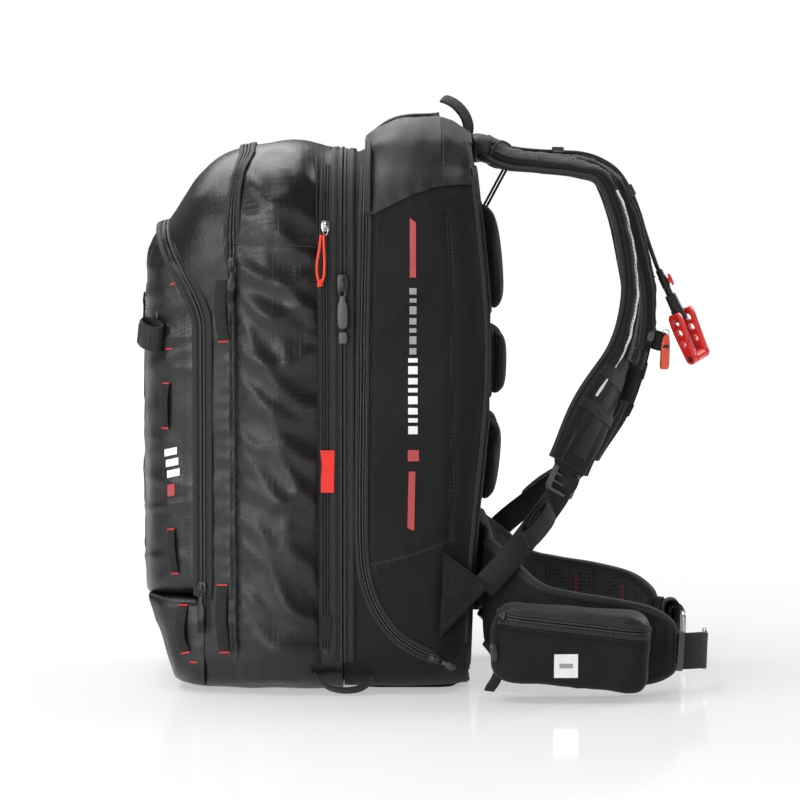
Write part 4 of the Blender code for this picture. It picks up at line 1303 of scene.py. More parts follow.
def make_bag_zips(front, pack):
    """Over-the-top zip, side access zip and the D-shaped zip, with their sliders."""
    x_at = table_x(TOP_ZIP)
    top = front.over(x_at, 0.004, 0.422)
    zip_strip("top_zip", "front_bag", top, 0.0165, lift=0.0010)
    end = front.side(((-0.1718, 0.420), (-0.1710, 0.4285)), -1)
    slider("top_zip_slider", "front_bag", end[len(end) // 2], (), 1.0, pull=0.019, tail=0.010)

    strip_x = -0.0806
    run = front.side(((strip_x, 0.045), (strip_x, 0.25), (strip_x - 0.0006, 0.42),
                      (strip_x + 0.0004, 0.520)), -1)
    zip_strip("side_zip_band", "front_bag", run, 0.0125, bind=0.0030, teeth=0.0026)
    slot = [f for f in run if f[0].z > 0.4595][0]
    slider("side_zip_slider_body", "side_zip", (slot[0] + slot[2] * 0.0008, slot[1], slot[2]),
           ("side_zip_slider",), 0.85, "chrome", pull=0)

    d_run = pack.side(D_ZIP, -1)
    zip_strip("d_zip_band", "pack", d_run, 0.0135, bind=0.0038, teeth=0.0026)
    low = d_run[-1]
    for f in d_run:
        if f[0].x > 0.0262:
            low = f
            break
    slider("d_zip_slider_body", "d_zip", low, ("d_zip_slider",), 0.95, pull=0.014,
           hang=Vector((0.9, 0, -0.42)))


# ---------------------------------------------------------------- seams, loops, tabs and marks
def patch(piece, skin_, hand, corners, look, lift=0.0005, thick=0.0003, counts=(3, 12)):
    """A thin four-cornered film or tab laid on one side of the bag: corners in order around it, (x, z)."""
    a, b, c, d = (Vector((x, 0, z)) for x, z in corners)
    columns, rows = counts
    top, low = [], []
    for j in range(rows + 1):
        left, right = a.lerp(d, j / rows), b.lerp(c, j / rows)
        upper, under = [], []
        for k in range(columns + 1):
            p = left.lerp(right, k / columns)
            spot, normal, _ = skin_.cast((p.x, hand * OUTSIDE, p.z), (0, -hand, 0))
            upper.append(spot + normal * (lift + thick))
            under.append(spot + normal * lift)
        top.append(upper)
        low.append(under)
    piece.sweep([u + v[::-1] for u, v in zip(top, low)], look)


def side_tack(piece, skin_, hand, x, z, width=0.0085, turn=0.0):
    """A bartack across, on one side of the bag."""
    c, s = cos(radians(turn)) * 0.003, sin(radians(turn)) * 0.003
    frames = skin_.side(((x - s, z + c), (x, z), (x + s, z - c)), hand, 0.003)
    point, across, normal = frames[len(frames) // 2]
    piece.bartack((point, across, normal), width)


def make_front_trim(front, toe):
    """Seams, piping, tabs and lower loops on both sides of the front bag."""
    trim = Piece("front_bag_trim", "front_bag", "thread")
    for hand in (-1, 1):
        seam(trim, front.side(PUCKER_SEAM[1:], hand), (-0.0030, 0.0024))
        seam(trim, front.side(CROSS_SEAM, hand), (-0.0024,))
        for line in (PUCKER_SEAM[1:], CROSS_SEAM):
            piping(trim, front.side(line, hand), 0.0009, 0.0, "rubber")
        piping(trim, front.side(STRIP_SEAM, hand), 0.0011, 0.0002, "tape")
        seam(trim, front.side(STRIP_SEAM, hand), (-0.0032,))
        base = toe.side(((-0.198, 0.0885), (-0.215, 0.0885), (-0.226, 0.0880)), hand)
        piping(trim, base, 0.0012, 0.0004)
        patch(trim, front, hand, ((-0.0845, 0.079), (-0.0760, 0.079), (-0.0760, 0.0535), (-0.0845, 0.0535)),
              "web", 0.0022, 0.0014)
        loop = toe.side(((-0.2215, 0.0860), (-0.2225, 0.060), (-0.2190, 0.0400)), hand, 0.0025)
        webbing_loop(trim, loop, 0.0105, 0.0017, 0.0050)
        side_tack(trim, toe, hand, -0.2120, 0.0300, 0.007)
    trim.finish()


def make_ski_loops(front):
    """Two flat loops of webbing down each side."""
    for name, hand in (("ski_loops_right", -1), ("ski_loops_left", 1)):
        loops = Piece(name + "_webbing", "front_bag", "web")
        for high, low in ((0.4070, 0.3482), (0.1072, 0.0419)):
            frames = front.side(((-0.1820, high), (-0.1824, (high + low) / 2), (-0.1800, low)), hand, 0.0025)
            webbing_loop(loops, frames, 0.0115, 0.0020, 0.0042, (high < 0.2, True))
        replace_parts(loops.finish(), name)


def make_side_tab(front):
    """The red cloth tab by the full-length zip."""
    tab = Piece("red_side_tab", "front_bag", "red_tab")
    patch(tab, front, -1, ((-0.0862, 0.241), (-0.0722, 0.241), (-0.0728, 0.1995), (-0.0862, 0.1995)),
          "red_tab", 0.0028, 0.0011, (6, 16))
    fold = front.side(((-0.0850, 0.2385), (-0.0735, 0.2385)), -1, 0.002)
    tab.stitches(shifted(fold, 0, 0.0040), look="red_thread")
    tab.finish()


def make_base_loop():
    """Webbing loop under the bag, across the full-length zip's lower end."""
    strap = Piece("base_loop_webbing", "front_bag", "web")
    run = resample(((-0.092, -0.148, 0.020), (-0.082, -0.1525, 0.0085), (-0.066, -0.1545, 0.0042),
                    (-0.048, -0.1540, 0.0060), (-0.034, -0.1480, 0.0150)), 0.003)
    strap.rod(run, (0.2, 0.8, -0.5), strip(0.014, 0.0018), "web")
    made = strap.finish(ride=False)
    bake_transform(made)


def make_pocket_trim(pocket):
    """Seams, side loops, marks and daisy chain of the tool pocket."""
    trim = Piece("tool_pocket_trim", "tool_pocket", "thread")
    for hand in (-1, 1):
        edge = ((-0.2150, 0.4300), (-0.2200, 0.4000), (-0.2205, 0.33), (-0.2195, 0.20), (-0.2150, 0.105))
        seam(trim, pocket.side(edge, hand), (-0.0013, 0.0013))
        for x, z, turn in ((-0.2300, 0.4038, 15), (-0.2352, 0.3394, 0)):
            side_tack(trim, pocket, hand, x, z, 0.0075, turn=turn)
        for high, low in (((-0.2372, 0.3050), (-0.2384, 0.2615)), ((-0.2330, 0.1610), (-0.2294, 0.1185))):
            frames = pocket.side((high, ((high[0] + low[0]) / 2, (high[1] + low[1]) / 2), low), hand, 0.0022)
            webbing_loop(trim, frames, 0.0085, 0.0018, 0.0034)
    for drop, shift in ((0.0, 0.0), (0.0105, 0.00135), (0.0210, 0.0027)):
        x, z = -0.2400 + shift, 0.2400 - drop
        corners = ((x, z), (x + 0.0125, z + 0.0030), (x + 0.0125, z - 0.0042), (x, z - 0.0072))
        patch(trim, pocket, -1, corners, "white_ink", 0.0004, 0.0003, (6, 4))
    x, z = -0.2370, 0.2050
    patch(trim, pocket, -1, ((x, z), (x + 0.0070, z + 0.0016), (x + 0.0070, z - 0.0100), (x, z - 0.0116)),
          "red_ink", 0.0004, 0.0003, (5, 5))
    for y in (-0.030, 0.030):
        line = pocket.front(((y, 0.405), (y, 0.30), (y, 0.20), (y, 0.110)))
        seam(trim, line, (-0.0013, 0.0013))
    webbing = pocket.front(((0.0, 0.390), (0.0, 0.30), (0.0, 0.20), (0.0, 0.112)), 0.003)
    step = len(webbing) // 5
    for k in range(5):
        part = webbing[k * step:(k + 1) * step + 1]
        webbing_loop(trim, part, 0.019, 0.0018, 0.0012, (True, k == 4))
    trim.finish()


def make_axe_strap():
    """The ring of webbing that holds an ice axe's shaft."""
    axe = Piece("ice_axe_strap", "tool_pocket", "web")
    centre, out = Vector((-0.2525, -0.1250, 0.3535)), Vector((-0.682, -0.731, 0))
    axis = Vector((0.12, -0.38, 0.92)).normalized()
    across = out.cross(axis).normalized()
    away = axis.cross(across)
    ring = []
    for k in range(49):
        turn = 2 * pi * k / 48
        ring.append(centre + across * 0.0132 * sin(turn) + away * (0.0082 * cos(turn) + 0.0010))
    axe.rod(ring, axis, strip(0.027, 0.0016), "web")
    overlap = ((0.0136, 0.0030), (0.0100, 0.0082), (0.0, 0.0112), (-0.0092, 0.0090), (-0.0136, 0.0034))
    tail = resample(lay((centre, across, away), overlap), 0.002)
    axe.rod(tail, axis, strip(0.025, 0.0014), "binding")
    for a in (-0.0080, 0.0080):
        p = centre + across * a + away * 0.0108
        axe.bartack((p, axis, away), 0.021, "thread")
    hook = centre + UP * 0.0185 - out * 0.005
    block(axe, hook, UP, out, (0.011, 0.009, 0.0042), "plastic", 0.8)
    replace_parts(axe.finish(), "ice_axe_loop")


def make_pack_trim(pack):
    """Seams of the airbag half, and the binding down its back edges."""
    trim = Piece("airbag_half_trim", "pack", "thread")
    for hand in (-1, 1):
        for line in (D_UPPER_SEAM, D_LOWER_SEAM, BACK_DART):
            seam(trim, pack.side(line, hand), (-0.0018, 0.0018))
        piping(trim, pack.side(D_LOWER_SEAM, hand), 0.0009, 0.0)
        inner = [(x + 0.0115, z) for x, z in D_ZIP[:6]]
        seam(trim, pack.side(inner, hand), (0.0,))
        edge = [Vector((back_x(z) - 0.0045, hand * 0.1432, z)) for z in
                (0.508, 0.47, 0.43, 0.39, 0.35, 0.31, 0.27, 0.23, 0.19, 0.155, 0.12, 0.08, 0.05)]
        run = resample(edge, 0.004)
        frames = frames_by_normal(run, [Vector((0.3, hand, 0)).normalized()] * len(run))
        trim.sweep(placed(frames, disc(0.0024, 10)), "binding")
    trim.finish()


def make_side_print(pack):
    """Plain marks in place of lettering: a column of bars between red bars."""
    marks = Piece("side_print", "pack", "red_ink")
    for corners, counts in (
        (((0.0015, 0.4683), (0.0075, 0.4640), (0.0075, 0.4103), (0.0015, 0.4103)), (3, 20)),
        (((0.0005, 0.2204), (0.0070, 0.2204), (0.0058, 0.1619), (-0.0008, 0.1650)), (3, 20)),
        (((-0.0004, 0.2415), (0.0105, 0.2415), (0.0105, 0.2305), (-0.0004, 0.2305)), (4, 4)),
    ):
        patch(marks, pack, -1, corners, "red_ink", counts=counts)
    high = 0.4000
    for k in range(15):
        tall = (0.0062, 0.0042, 0.0078)[k % 3]
        look = "grey_ink" if k < 7 else "white_ink"
        narrow = 0.0012 if k < 7 else 0.0
        left, right = 0.0000 + narrow, 0.0092 - narrow
        patch(marks, pack, -1, ((left, high), (right, high), (right, high - tall), (left, high - tall)), look,
              counts=(3, 3))
        high -= tall + 0.0037
    marks.finish()


def make_flap_tongue():
    """The stiff tongue laid over the burst flap's middle."""
    tongue = Piece("burst_flap_tongue", "burst_flap", "binding")
    rows = []
    path = ((-0.0385, 0.5478), (-0.0330, 0.5535), (-0.0220, 0.5618), (-0.0100, 0.5670), (0.0040, 0.5692),
            (0.0180, 0.5696), (0.0270, 0.5702), (0.0320, 0.5710))
    run = resample([(x, 0, z) for x, z in path], 0.003)
    frames = frames_by_side(run, (0, 1, 0))
    last = len(frames) - 1
    for k, (p, w, n) in enumerate(frames):
        share = k / last
        half = 0.052 * (1 - 0.35 * smooth((share - 0.55) / 0.45))
        end = 1 - 0.85 * smooth((share - 0.88) / 0.12)
        n = n if n.z > 0 else -n
        flat = super_oval(half * end, 0.0026, 4.5, 36)
        rows.append([p + w * a + n * (b - 0.05 * (a * a)) for a, b in flat])
    tongue.sweep(rows, "binding")
    seam(tongue, [(p, w, n if n.z > 0 else -n) for p, w, n in frames], (0.040, -0.040), 0.0021)
    tongue.finish()


def make_flap_edge():
    """Binding and stitches along the burst flap's front edge."""
    edge = Piece("burst_flap_edge", "burst_flap", "binding")
    arc = hood_arc(ZIP_X + 0.0246, 0.5472, 0.4745)
    normals = [Vector((-0.75, p.y * 3, 0.6)).normalized() for p in arc]
    run = resample(arc, 0.004, smoothly=False)
    found = []
    for p in run:
        near = min(range(len(arc)), key=lambda k, p=p: (arc[k] - p).length)
        found.append(normals[near])
    edge.sweep(placed(frames_by_normal(run, found), super_oval(0.0040, 0.0020, 2.4, 14)), "binding")
    edge.stitches(frames_by_normal(run, found), 0.0020, 0.0021)
    edge.finish()


def make_hood_seams():
    """Two rows of stitches over the rear hood."""
    rear = Piece("hood_rear_seam", "pack", "thread")
    for depth, high, skirt in ((0.0985, 0.5663, 0.5030), (0.1245, 0.5537, 0.5040)):
        arc = [p + Vector((0, 0, 0.0010)) for p in hood_arc(ZIP_X + depth, high, skirt)]
        arc = resample(arc, 0.004, False)
        normals = [Vector((0.2, p.y * 6, 0.8)).normalized() for p in arc]
        rear.stitches(frames_by_normal(arc, normals), 0, 0.0006)
    rear.finish()


def make_grab_handle():
    """The webbing handle on top, with its stitches."""
    handle = Piece("grab_handle_webbing", "grab_handle", "web")
    half = ((0.0600, -0.0480, 0.5480), (0.0615, -0.0455, 0.5590), (0.0575, -0.0400, 0.5710),
            (0.0490, -0.0300, 0.5810), (0.0400, -0.0150, 0.5862), (0.0360, 0.0, 0.5868))
    run = resample(half + tuple((x, -y, z) for x, y, z in half[-2::-1]), 0.003)
    frames = frames_by_side(run, (0.7, 0, 0.7))
    handle.sweep(placed(frames, super_oval(0.0046, 0.0019, 3.4, 18)), "web")
    handle.stitches(frames, 0.0030, 0.0019)
    handle.stitches(frames, -0.0030, 0.0019)
    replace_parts(handle.finish(), "grab_handle")


# ---------------------------------------------------------------- harness
RIGHT_STRAP = (
    (0.077, -0.045, 0.538), (0.100, -0.054, 0.5265), (0.1325, -0.062, 0.5220), (0.1675, -0.070, 0.5170),
    (0.1925, -0.076, 0.507), (0.207, -0.080, 0.475), (0.217, -0.083, 0.430), (0.221, -0.086, 0.385),
    (0.212, -0.090, 0.335), (0.189, -0.100, 0.286), (0.160, -0.115, 0.222),
)
LEFT_STRAP = (
    (0.077, 0.045, 0.538), (0.100, 0.054, 0.5265), (0.1325, 0.062, 0.5230), (0.178, 0.070, 0.5205),
    (0.2105, 0.076, 0.506), (0.231, 0.081, 0.468), (0.242, 0.084, 0.426), (0.2475, 0.086, 0.390),
    (0.2425, 0.090, 0.345), (0.221, 0.100, 0.288), (0.184, 0.115, 0.222),
)
STRAP_TWIST = (0, 0, 0, 0, 0, 0, 0, 5, 14, 34, 58)
STRAP_STEPS = 12
TRIGGER_HUB = Vector((0.3035, 0.088, 0.3217))
TRIGGER_PULL = Vector((0.42, 0.0, -0.907)).normalized()  # the way the handle is pulled


def strap_frames(points, sign):
    """Frames down the middle of a shoulder strap, twisted outwards low down."""
    points = [Vector(p) for p in points]
    path, twists = [], []
    for k in range((len(points) - 1) * STRAP_STEPS + 1):
        path.append(catmull(points, k / STRAP_STEPS))
        low = min(k // STRAP_STEPS, len(STRAP_TWIST) - 2)
        twists.append(-sign * mix(STRAP_TWIST[low], STRAP_TWIST[low + 1], k / STRAP_STEPS - low))
    smoothed = [sum(twists[min(max(k + j, 0), len(twists) - 1)] for j in range(-5, 6)) / 11
                for k in range(len(twists))]
    return frames_by_side(path, (0, 1, 0), smoothed)


def strap_size(share):
    """Half width and half thickness of the padded strap, tapered at its lower end."""
    half = 0.031 * mix(0.80, 1.0, smooth(share * 6)) * mix(1.0, 0.80, smooth((share - 0.90) / 0.10))
    thick = mix(0.023, 0.016, smooth(share * 2)) / 2
    return half, thick * mix(1.0, 0.62, smooth((share - 0.93) / 0.07))


def super_point(half_a, half_b, power, turn):
    """The point of a super-ellipse at one turn."""
    return tuple(half * math.copysign(abs(part) ** (2 / power), part)
                 for half, part in ((half_a, cos(turn)), (half_b, sin(turn))))


def strap_face(frames, first, last, across=0.0, lift=0.0):
    """Frames on the strap's outer side, between two shares of it."""
    top = len(frames) - 1
    found = []
    for k in range(round(first * top), round(last * top) + 1):
        p, w, n = frames[k]
        half, thick = strap_size(k / top)
        high = thick * (1 - min(abs(across / half), 1) ** 3) ** 0.4
        found.append((p + w * across + n * (high + lift), w, n))
    return found


def blend_strap(made, hand, sign):
    """Bakes the piece's placement into its mesh."""
    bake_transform(made)


def make_strap_pad(hand, sign, frames):
    """The padded strap: mesh cloth outside, matte cloth inside, a bead along each edge."""
    top = len(frames) - 1
    pad = Piece(f"shoulder_strap_{hand}_pad", "strap_" + hand, "mesh")
    upper, lower, beads = [], [], {-1: [], 1: []}
    for k, (p, w, n) in enumerate(frames):
        half, thick = strap_size(k / top)
        thick += 0.0005 * sin(k * 0.55) + 0.0004 * sin(k * 1.31)
        split = radians(mix(8, 52, smooth((k / top - 0.34) / 0.18)))
        face = [super_point(half, thick, 2.5, mix(split, pi - split, j / 26)) for j in range(27)]
        under = [super_point(half * 0.99, thick * 0.98, 2.7, mix(pi - split, 2 * pi + split, j / 30))
                 for j in range(31)]
        upper.append(lay((p, w, n), face))
        lower.append(lay((p, w, n), under))
        for edge, (a, b) in ((1, face[0]), (-1, face[-1])):
            beads[edge].append((p + w * a + n * b, w, n))
    pad.sweep(upper, "mesh")
    pad.sweep(lower, "matte")
    for edge, bead in beads.items():
        cut_a, cut_b = round(0.46 * top), round(0.90 * top)
        pad.sweep(placed(bead[:cut_a + 1], disc(0.0017, 8)), "binding")
        pad.sweep(placed(bead[cut_a:cut_b + 1], disc(0.0021, 8)), "reflective" if edge == sign else "binding")
        pad.sweep(placed(bead[cut_b:], disc(0.0017, 8)), "binding")
        rim = [(p + w * edge * (strap_size(k / top)[0] - 0.0022) - n * strap_size(k / top)[1] * 0.72, w, n)
               for k, (p, w, n) in enumerate(frames)]
        pad.sweep(placed(rim, super_oval(0.0036, 0.0030, 2.2, 12)), "binding")
        pad.stitches(shifted(strap_face(frames, 0.04, 0.97, edge * 0.0235), 0, 0.0003))
    made = pad.finish(ride=False)
    blend_strap(made, hand, sign)
    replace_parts(made, "shoulder_strap_" + hand)


def make_strap_trim(hand, frames):
    """Webbing rail with its bar tacks, and the covers around the strap's lower end."""
    top = len(frames) - 1
    trim = Piece(f"shoulder_strap_{hand}_webbing", "strap_" + hand, "web")
    rail = strap_face(frames, 0.30, 0.985, 0.0, 0.0008)
    trim.sweep(placed(rail, strip(0.020, 0.0018)), "web")
    gap = 0.082
    for k in (0, 1, 2, 3, 4, 7):
        share = 0.34 + gap * k
        point, across, normal = strap_face(frames, share, share + 0.01, 0.0, 0.0028)[0]
        trim.bartack((point, across, normal), 0.018, "thread")

    def wrapped(first, last, low, high, lift):
        """Rows of points lying just over the strap's rounded outer face."""
        rows = []
        for k in range(round(first * top), round(last * top) + 1):
            p, w, n = frames[k]
            half, thick = strap_size(k / top)
            flat = []
            for j in range(25):
                size = lift if 0 < j < 24 else 0.0
                flat.append(super_point(half + size, thick + size, 2.5, mix(low, high, j / 24)))
            rows.append(lay((p, w, n), flat))
        return rows

    trim.sweep(wrapped(0.80, 1.0, 0.10 * pi, 0.90 * pi, 0.0013), "matte", closed=False)
    for share in (0.845, 0.905):
        trim.sweep(wrapped(share, share + 0.022, 0.02 * pi, 0.98 * pi, 0.0026), "web", closed=False)
    for start in (0.81, 0.87, 0.93):
        rows = wrapped(start, min(start + 0.06, 0.99), 0.16 * pi, 0.84 * pi, 0.0015)
        last = len(rows) - 1
        run = []
        for k in range(last + 1):
            p, w, n = frames[round(start * top) + k]
            run.append((rows[k][1 + round(22 * k / last)], w, n))
        trim.stitches(run, 0, 0.0002)
    trim.finish()


def make_lock_tab(hand, end, along):
    """The webbing that holds the ladder lock, and the strap's wedge above it."""
    tip = Piece(f"ladder_lock_{hand}_tab", "strap_" + hand, "web")
    bend = ((-0.030, 0.0050), (-0.004, 0.0042), (0.006, 0.0), (0.0082, -0.0042), (0.001, -0.0052),
            (-0.024, -0.0058))
    run = resample(lay((end[0], along, end[2]), bend), 0.002)
    tip.rod(run, end[1], strip(0.0235, 0.0018), "web")
    tip.bartack((end[0] - along * 0.016 + end[2] * 0.0058, end[1], end[2]), 0.021, "thread")
    sizes = ((0.004, 0.0240, 0.0050), (-0.004, 0.0190, 0.0036), (-0.0075, 0.0140, 0.0024))
    wedge = [lay((end[0] - along * back, end[1], end[2]), super_oval(wide, high, 3, 20))
             for back, wide, high in sizes]
    tip.sweep(wedge, "matte")
    tip.finish()


def make_adjuster(hand, sign, end, along):
    """Webbing from the ladder lock down to the bag's side, with its rolled free end."""
    start = end[0] + along * 0.034
    path = [end[0] + along * 0.0105 + end[2] * 0.0036, end[0] + along * 0.0165 + end[2] * 0.0046,
            end[0] + along * 0.0245 - end[2] * 0.0036, start, Vector((0.1060, sign * 0.1545, 0.1420)),
            Vector((0.0735, sign * 0.1585, 0.1060))]
    run = resample(path, 0.003)
    adjuster = Piece(f"adjuster_webbing_{hand}_strip", "pack", "web")
    side = frames_by_side(run, (0.7, 0, -0.6))
    adjuster.sweep(placed(side, strip(0.025, 0.0019)), "web")
    out = Vector((0.15, sign * 0.95, 0.25)).normalized()
    down = (Vector((0.1060, sign * 0.1545, 0.1420)) - start).normalized()
    wide = down.cross(out).normalized()
    out = wide.cross(down).normalized()
    if out.y * sign < 0:
        out = -out
    upper = wide if wide.z > 0 else -wide
    turn = radians(46)
    fold_wide, fold_out = upper * cos(turn) + out * sin(turn), out * cos(turn) - upper * sin(turn)
    seat = start + out * 0.0105 + upper * 0.0020
    spiral = ((-0.004, 0.0), (0.016, -0.0022), (0.038, -0.0010), (0.045, 0.0026), (0.038, 0.0062),
              (0.016, 0.0074), (0.003, 0.0050), (0.006, 0.0022), (0.018, 0.0012), (0.032, 0.0022),
              (0.0365, 0.0034), (0.032, 0.0046), (0.016, 0.0048))
    fold = [seat + down * (0.017 + a) + fold_out * b * 1.35 for a, b in spiral]
    adjuster.rod(fold, fold_wide, strip(0.0245, 0.0014), "web", 0.0015)
    made = adjuster.finish(ride=False)
    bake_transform(made)
    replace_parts(made, "adjuster_webbing_" + hand)


def make_load_lifter(hand, sign):
    """Short webbing from the strap to the top of the back."""
    lifter = Piece(f"load_lifter_{hand}", "strap_" + hand, "web")
    run = resample([(x, sign * y, z) for x, y, z in (
        (0.0770, 0.0600, 0.4750), (0.0895, 0.0610, 0.4985), (0.0968, 0.0620, 0.5120),
        (0.1010, 0.0625, 0.5200))], 0.003)
    lifter.rod(run, (0, 1, 0), strip(0.0120, 0.0022), "web")
    lift = lifter.finish(ride=False)
    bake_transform(lift)


def make_strap(hand, sign, points):
    """One shoulder strap with everything sewn to it; returns its frames."""
    frames = strap_frames(points, sign)
    end = frames[-1]
    along = (end[0] - frames[-4][0]).normalized()
    make_strap_pad(hand, sign, frames)
    make_strap_trim(hand, frames)
    make_lock_tab(hand, end, along)
    make_adjuster(hand, sign, end, along)
    make_load_lifter(hand, sign)
    return frames


def make_yoke(hand, sign):
    """Padded shoulder cover that carries the strap into the rear hood."""
    yoke = Piece(f"shoulder_yoke_{hand}", "pack", "matte")
    rows = []
    path = ((0.0655, 0.044, 0.5365, 0.030, 0.0150), (0.0700, 0.0445, 0.5375, 0.031, 0.0150),
            (0.0765, 0.0455, 0.5372, 0.0305, 0.0135), (0.0850, 0.0485, 0.5340, 0.0290, 0.0132),
            (0.0930, 0.0515, 0.5305, 0.0282, 0.0128))
    centres = [Vector((x, sign * y, z)) for x, y, z, _, _ in path]
    for k, each in enumerate(frames_by_side(centres, (0, 1, 0))):
        rows.append(lay(each, super_oval(path[k][3], path[k][4], 3.0, 40)))
    # The yoke takes the lighter hood cloth: painted top light.
    yoke.sweep(rows, "hood")
    edge = [Vector(p) for p in rows[-1]]
    edge.append(edge[0])
    yoke.rod(resample(edge, 0.002, False), (1, 0, 0), disc(0.0014, 8), "binding")
    made = yoke.finish(subdivide=1, ride=False)
    blend_strap(made, hand, sign)


def make_sternum(hand, sign, frames):
    """Half of the sternum strap, on its slider; the left one carries the clip."""
    share = 0.8
    top = len(frames) - 1
    point, width, normal = frames[round(share * top)]
    _, thick = strap_size(share)
    if width.y * sign > 0:
        inner = -width
    else:
        inner = width
    along = normal.cross(inner).normalized()
    if along.z < 0:
        along = -along
    seat = point + normal * (thick + 0.0042)
    piece = Piece(f"sternum_strap_{hand}", "sternum_" + hand, "web")
    band = lay((seat, inner, normal), ((-0.0215, 0), (-0.010, 0.0006), (0.008, 0.0006), (0.0195, 0)))
    piece.rod(band, along, strip(0.0155, 0.0018), "web", 0.003)
    block(piece, seat + inner * 0.004 + normal * 0.0020, inner, normal, (0.0165, 0.0155, 0.0045),
          "plastic", 1.0, 0.8)
    for shift in (-0.0045, 0.0045):
        middle = seat + inner * (0.004 + shift)
        rod = lay((middle, along, normal), ((-0.0078, 0.0042), (0, 0.0052), (0.0078, 0.0042)))
        piece.rod(rod, normal, disc(0.0013, 8), "plastic", 0.002)
    hub = seat + inner * 0.0245
    loop = [hub + inner * 0.0065 * cos(2 * pi * k / 28) + normal * (0.0068 * sin(2 * pi * k / 28) + 0.0020)
            for k in range(29)]
    piece.rod(loop, along, strip(0.0185, 0.0017), "web")
    if hand == "left":
        clip = Vector((0.2505, 0.0655, 0.3470))
        block(piece, clip, (0.25, 0, 1), (0, -1, 0), (0.026, 0.0125, 0.0060), "plastic", 0.7, 0.85)
        block(piece, clip + Vector((0.002, -0.004, -0.004)), (0.25, 0, 1), (0, -1, 0),
              (0.011, 0.0075, 0.0040), "grey", 0.7)
        arm = resample((seat + inner * 0.018 + along * 0.006, clip + Vector((-0.002, 0.004, -0.008)),
                        clip + Vector((0.001, 0.003, 0.004))), 0.002)
        piece.rod(arm, (0, 1, 0), strip(0.007, 0.0022), "plastic")
    else:
        tail = resample((hub + inner * 0.002 - normal * 0.003, hub + inner * 0.010 - along * 0.010,
                         hub + inner * 0.012 - along * 0.030, hub + inner * 0.010 - along * 0.044), 0.003)
        piece.rod(tail, normal, strip(0.0120, 0.0015), "web")
    made = piece.finish()
    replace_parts(made, "sternum_slider_" + hand)


def make_whistle():
    """The whistle on its wire ring, below the sternum clip."""
    top = Vector((0.2685, 0.066, 0.3440))
    piece = Piece("whistle_body", "whistle", "orange")
    rows = []
    for drop, half, deep in ((-0.0008, 0.0016, 0.0016), (0.0, 0.0030, 0.0026), (0.002, 0.0038, 0.0034),
                             (0.0065, 0.0041, 0.0038), (0.0085, 0.0047, 0.0041), (0.022, 0.0050, 0.0041),
                             (0.0315, 0.0052, 0.0040), (0.0345, 0.0047, 0.0036), (0.0360, 0.0034, 0.0026)):
        centre = top - UP * drop + Vector((-0.0016 * drop / 0.036, 0, 0))
        rows.append([centre + Vector((a, b, 0)) for a, b in super_oval(half, deep, 3.2, 28)])
    piece.sweep(rows, "orange")
    window = top + Vector((-0.0002, -0.0040, -0.0120))
    block(piece, window, (1, 0, 0), (0, -1, 0), (0.0062, 0.0034, 0.0012), "plastic", 0.5)
    ring = [top + Vector((0.0034 * sin(2 * pi * k / 20), 0, 0.0022 + 0.0034 * cos(2 * pi * k / 20)))
            for k in range(21)]
    piece.rod(ring, (0, 1, 0), disc(0.0006, 6), "steel")
    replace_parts(piece.finish(), "whistle")


def make_cables(left_frames):
    """Smooth sleeves over the trigger cable, inside the bag and down the left strap."""
    inner = ((0.010, 0.072, 0.3000), (0.014, 0.071, 0.318), (0.030, 0.066, 0.345), (0.040, 0.058, 0.400),
             (0.042, 0.050, 0.460), (0.041, 0.046, 0.505), (0.048, 0.0445, 0.5325), (0.0600, 0.0445, 0.5390),
             (0.0702, 0.0448, 0.5450))
    piece = Piece("trigger_cable_inner_sleeve", "pack", "rubber")
    piece.rod(inner, (0, 1, 0), disc(0.0022, 12), "rubber", 0.003)
    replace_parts(piece.finish(), "trigger_cable_inner")
    top = len(left_frames) - 1
    run = []
    for k in range(0, top, 6):
        p, w, n = left_frames[k]
        if p.z < 0.430:
            break
        lift = mix(0.0014, 0.0026, smooth((k / top - 0.25) / 0.06))
        run.append(p + n * (strap_size(k / top)[1] + lift))
    guide_top = TRIGGER_HUB - TRIGGER_PULL * 0.0990
    run += [guide_top - TRIGGER_PULL * 0.006, guide_top + TRIGGER_PULL * 0.003]
    piece = Piece("trigger_cable_strap_sleeve", "strap_left", "rubber")
    piece.rod(run, (0, 1, 0), disc(0.0022, 12), "rubber", 0.003)
    for k in (30, 54):
        p, w, n = left_frames[k]
        seat = p + n * (strap_size(k / top)[1] + 0.0006)
        keep = lay((seat, w, n), ((0.0085, 0.0002), (0.0040, 0.0018), (0, 0.0055), (-0.0040, 0.0018),
                                  (-0.0085, 0.0002)))
        tangent = n.cross(w)
        piece.rod(keep, tangent, strip(0.012, 0.0012), "web", 0.0015)
    made = piece.finish(ride=False)
    blend_strap(made, "left", 1)
    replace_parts(made, "trigger_cable_strap")


